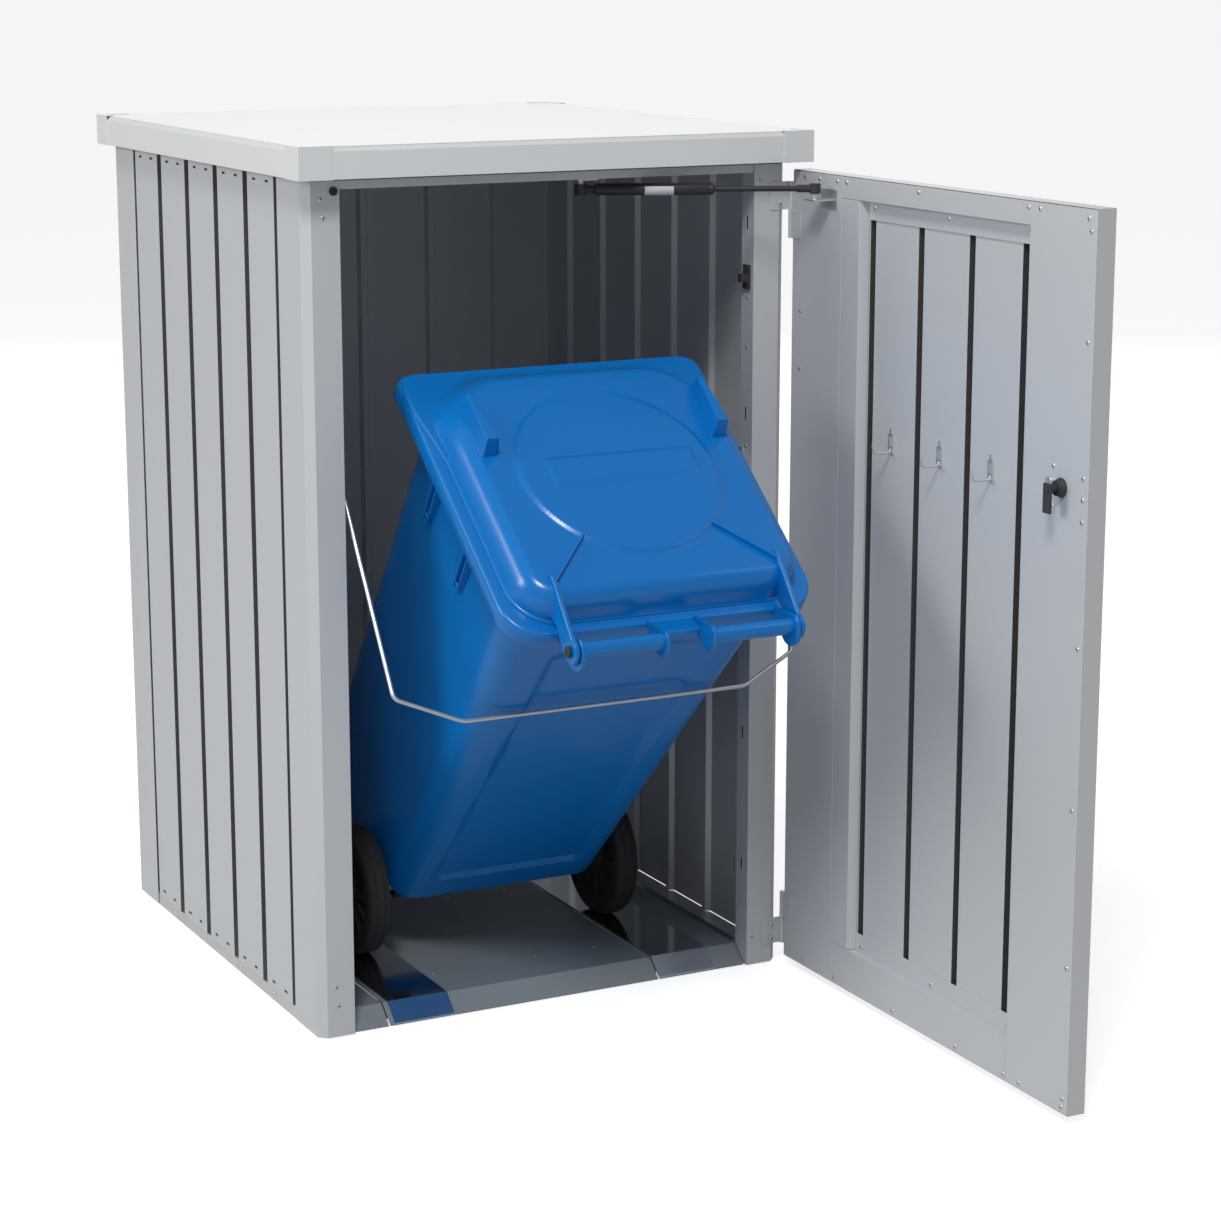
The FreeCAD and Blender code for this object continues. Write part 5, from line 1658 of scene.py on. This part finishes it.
    def ribs(self) -> Shape:
        """Make the slanting ribs that run from the arms to the disc.

        Returns:
            The shape.
        """
        shape = Shape()
        for side in (-1, 1):
            start, end = Vector((side * 170 * MM, 12 * MM)), Vector((side * 96 * MM, 90 * MM))
            way = (end - start).normalized()
            across = Vector((-way.y, way.x)) * 2.4 * MM
            rows = []
            corners = ((-1, 34 * MM), (1, 34 * MM), (1, 51.5 * MM), (-1, 51.5 * MM))
            for share in (0.0, 0.5, 1.0):
                middle = start.lerp(end, share)
                rows.append([self.places.on_rim(*(middle + across * sign), level)
                             for sign, level in corners])
            shape.grid(rows, around=True, caps=True)
        return shape

    def arms(self) -> Shape:
        """Make the two arms that reach from the lid to the pins.

        Returns:
            The shape.
        """
        shape = Shape()
        outline = arc(self.places.pin, 18 * MM, 60.0, 250.0, 16)
        outline += [(-84 * MM, 812 * MM), (-62 * MM, 816 * MM), (-44 * MM, 812 * MM), (-12 * MM, 812 * MM),
                    (6 * MM, 840 * MM), (-4 * MM, 853 * MM), (-22 * MM, 852 * MM)]
        for side in (-1, 1):
            start = self.arm_start if side > 0 else -self.arm_start - self.arm_gauge
            shape.plate(outline, start, start + self.arm_gauge, self.places.put)
        return shape


@dataclass
class Wheel:
    """One wheel: a grooved rubber tyre and a ribbed hub."""

    side: str
    rib_count: int = 12
    tyre_deep: float = 18 * MM
    groove: float = 1.5 * MM
    rib_gauge: float = 3 * MM

    def build(self) -> None:
        """Build the tyre, the hub and its ribs."""
        body = f"wheel_{self.side}"
        low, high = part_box(f"wheel_tyre_{self.side}")
        self.centre = (low + high) / 2
        half, radius = (high.x - low.x) / 2, (high.z - low.z) / 2
        inner, floor = radius - self.tyre_deep, radius - self.groove
        right = [(half - 2 * MM, inner), (half, inner + 5 * MM), (half, radius - 7 * MM),
                 (half - 1.5 * MM, radius - 3.5 * MM), (half - 5 * MM, radius - 1.2 * MM),
                 (half * 0.45, radius), (half * 0.4, floor), (half * 0.3, floor), (half * 0.25, radius)]
        profile = [*((-along, up) for along, up in right), *reversed(right)]
        tyre = Shape().turned(profile, self.put, 96)
        settle(tyre.build(f"tyre_{self.side}", 35.0), Finish.TYRE, body, [f"wheel_tyre_{self.side}"])
        refined(f"wheel_hub_{self.side}", body, Finish.NYLON, 0.8 * MM)
        self.add_ribs(body, half, inner)

    def put(self, along: float, across: float, up: float) -> Vector:
        """Return a place beside the wheel's centre."""
        return self.centre + Vector((along, across, up))

    def add_ribs(self, body: str, half: float, inner: float) -> None:
        """Add the hub's ribs in a ring, on both faces.

        Args:
            body: the wheel's body.
            half: half the tyre's width.
            inner: the tyre's inner radius.
        """
        tree = Grower(f"hub_ribs_{self.side}")
        count = tree.size("Count", self.rib_count, "NodeSocketInt")
        long = tree.size("Rib Length", inner - 34 * MM)
        middle = tree.size("Middle Radius", (inner + 18 * MM) / 2)
        deep = tree.size("Rib Depth", half * 1.3)
        metal = tree.size("Plastic", None, "NodeSocketMaterial")
        ring = tree.node("GeometryNodeMeshCircle", {}, {"Vertices": count, "Radius": middle})
        size = tree.node("ShaderNodeCombineXYZ", {}, {"X": long, "Y": self.rib_gauge, "Z": deep})
        rib = tree.node("GeometryNodeMeshCube", {}, {"Size": size.outputs[0]})
        place = tree.node("GeometryNodeInputPosition")
        turn = tree.node("FunctionNodeAlignRotationToVector", {"axis": "X"}, {"Vector": place.outputs[0]})
        spread = tree.node("GeometryNodeInstanceOnPoints", {}, {
            "Points": ring.outputs[0], "Instance": rib.outputs[0], "Rotation": turn.outputs[0]})
        real = tree.node("GeometryNodeRealizeInstances", {}, {"Geometry": spread.outputs[0]})
        laid = tree.node("GeometryNodeTransform", {}, {
            "Geometry": real.outputs[0], "Translation": self.centre, "Rotation": Towards.RIGHT.value})
        tree.feed(tree.end.inputs[0], tree.painted(laid.outputs[0], metal))
        made = tree.grown(f"hub_ribs_{self.side}", [self.centre], {"Plastic": Finish.NYLON.material()})
        settle(made, Finish.NYLON, body)


# ------------------------------------------------------------------ the studio

@dataclass
class Studio:
    """Floor, light and camera."""

    camera_place: tuple[float, float, float] = (-1.8959, -4.2344, 1.5502)
    camera_turn: float = 27.3
    camera_down: float = 12.565
    lens: float = 89.37
    sky: float = 0.34
    floor_reach: float = 300.0
    floor_glow: float = 0.7
    target: tuple[float, float, float] = (0.0, -0.3, 0.6)

    def build(self) -> None:
        """Set the stage, the lights and the camera."""
        self.add_floor()
        self.add_lights()
        self.add_camera()

    def add_floor(self) -> None:
        """Add a plain pale floor out to the horizon."""
        mesh = bpy.data.meshes.new("studio_floor")
        corners = [(x * self.floor_reach, y * self.floor_reach, -0.1 * MM)
                   for x, y in ((-1, -1), (1, -1), (1, 1), (-1, 1))]
        mesh.from_pydata(corners, [], [(0, 1, 2, 3)])
        floor = placed("studio_floor", mesh)
        coat = Coat("floor_white", {"Specular IOR Level": 0.1, "Emission Color": (1.0, 1.0, 1.0, 1.0)})
        seen = Signal(coat, coat.node("ShaderNodeLightPath").outputs["Is Camera Ray"])
        coat.feed(coat.shader.inputs["Emission Strength"], seen * self.floor_glow)
        grain = coat.noise(40.0, 2.0)
        mesh.materials.append(coat.finish(coat.blend(grain, (0.60, 0.60, 0.60), (0.62, 0.62, 0.62)),
                                          grain * 0.05 + 0.85))

    def add_lights(self) -> None:
        """Add an even white sky, a soft key from the left and a weak fill."""
        world = bpy.data.worlds.new("studio_sky")
        world.use_nodes = True
        tree = Tree(world.node_tree)
        back = next(one for one in tree.nodes.nodes if one.type == "BACKGROUND")
        seen = Signal(tree, tree.node("ShaderNodeLightPath").outputs["Is Camera Ray"])
        back.inputs["Color"].default_value = (1.0, 1.0, 1.0, 1.0)
        tree.feed(back.inputs["Strength"], seen * (1.0 - self.sky) + self.sky)
        bpy.context.scene.world = world
        lamps = (("left", (-6.0, 0.9, 2.8), 145.0, 2.2), ("front", (-2.2, -3.6, 5.2), 185.0, 1.2),
                 ("rear", (2.9, 5.6, 3.0), 70.0, 4.0))
        for name, place, power, size in lamps:
            light = bpy.data.lights.new(f"studio_{name}", "AREA")
            light.energy = power
            light.size = size
            lamp = placed(f"studio_{name}", light)
            lamp.location = place
            way = Vector(self.target) - Vector(place)
            lamp.rotation_euler = way.to_track_quat("-Z", "Y").to_euler()

    def add_camera(self) -> None:
        """Add the camera, level in roll and tipped down."""
        data = bpy.data.cameras.new("studio_camera")
        data.lens = self.lens
        data.sensor_width = 36.0
        camera = placed("studio_camera", data)
        camera.location = self.camera_place
        camera.rotation_euler = (math.radians(90.0 - self.camera_down), 0.0,
                                 math.radians(-self.camera_turn))
        bpy.context.scene.camera = camera
        bpy.context.scene.view_settings.view_transform = "Standard"


def main() -> None:
    """Build every sub-assembly in order."""
    logging.basicConfig(level=logging.INFO, format="%(name)s %(message)s")
    hardware = Hardware(screw_tree(), slot_tree(), copy_tree())
    places = BinPlaces()
    for assembly in (Cabinet(hardware), CabinetLid(), Door(hardware), DoorLock(), GasStrut(), Bail(),
                     BinBody(places), BinLid(places), Wheel("left"), Wheel("right"), Studio()):
        assembly.build()


if __name__ == "__main__":
    main()
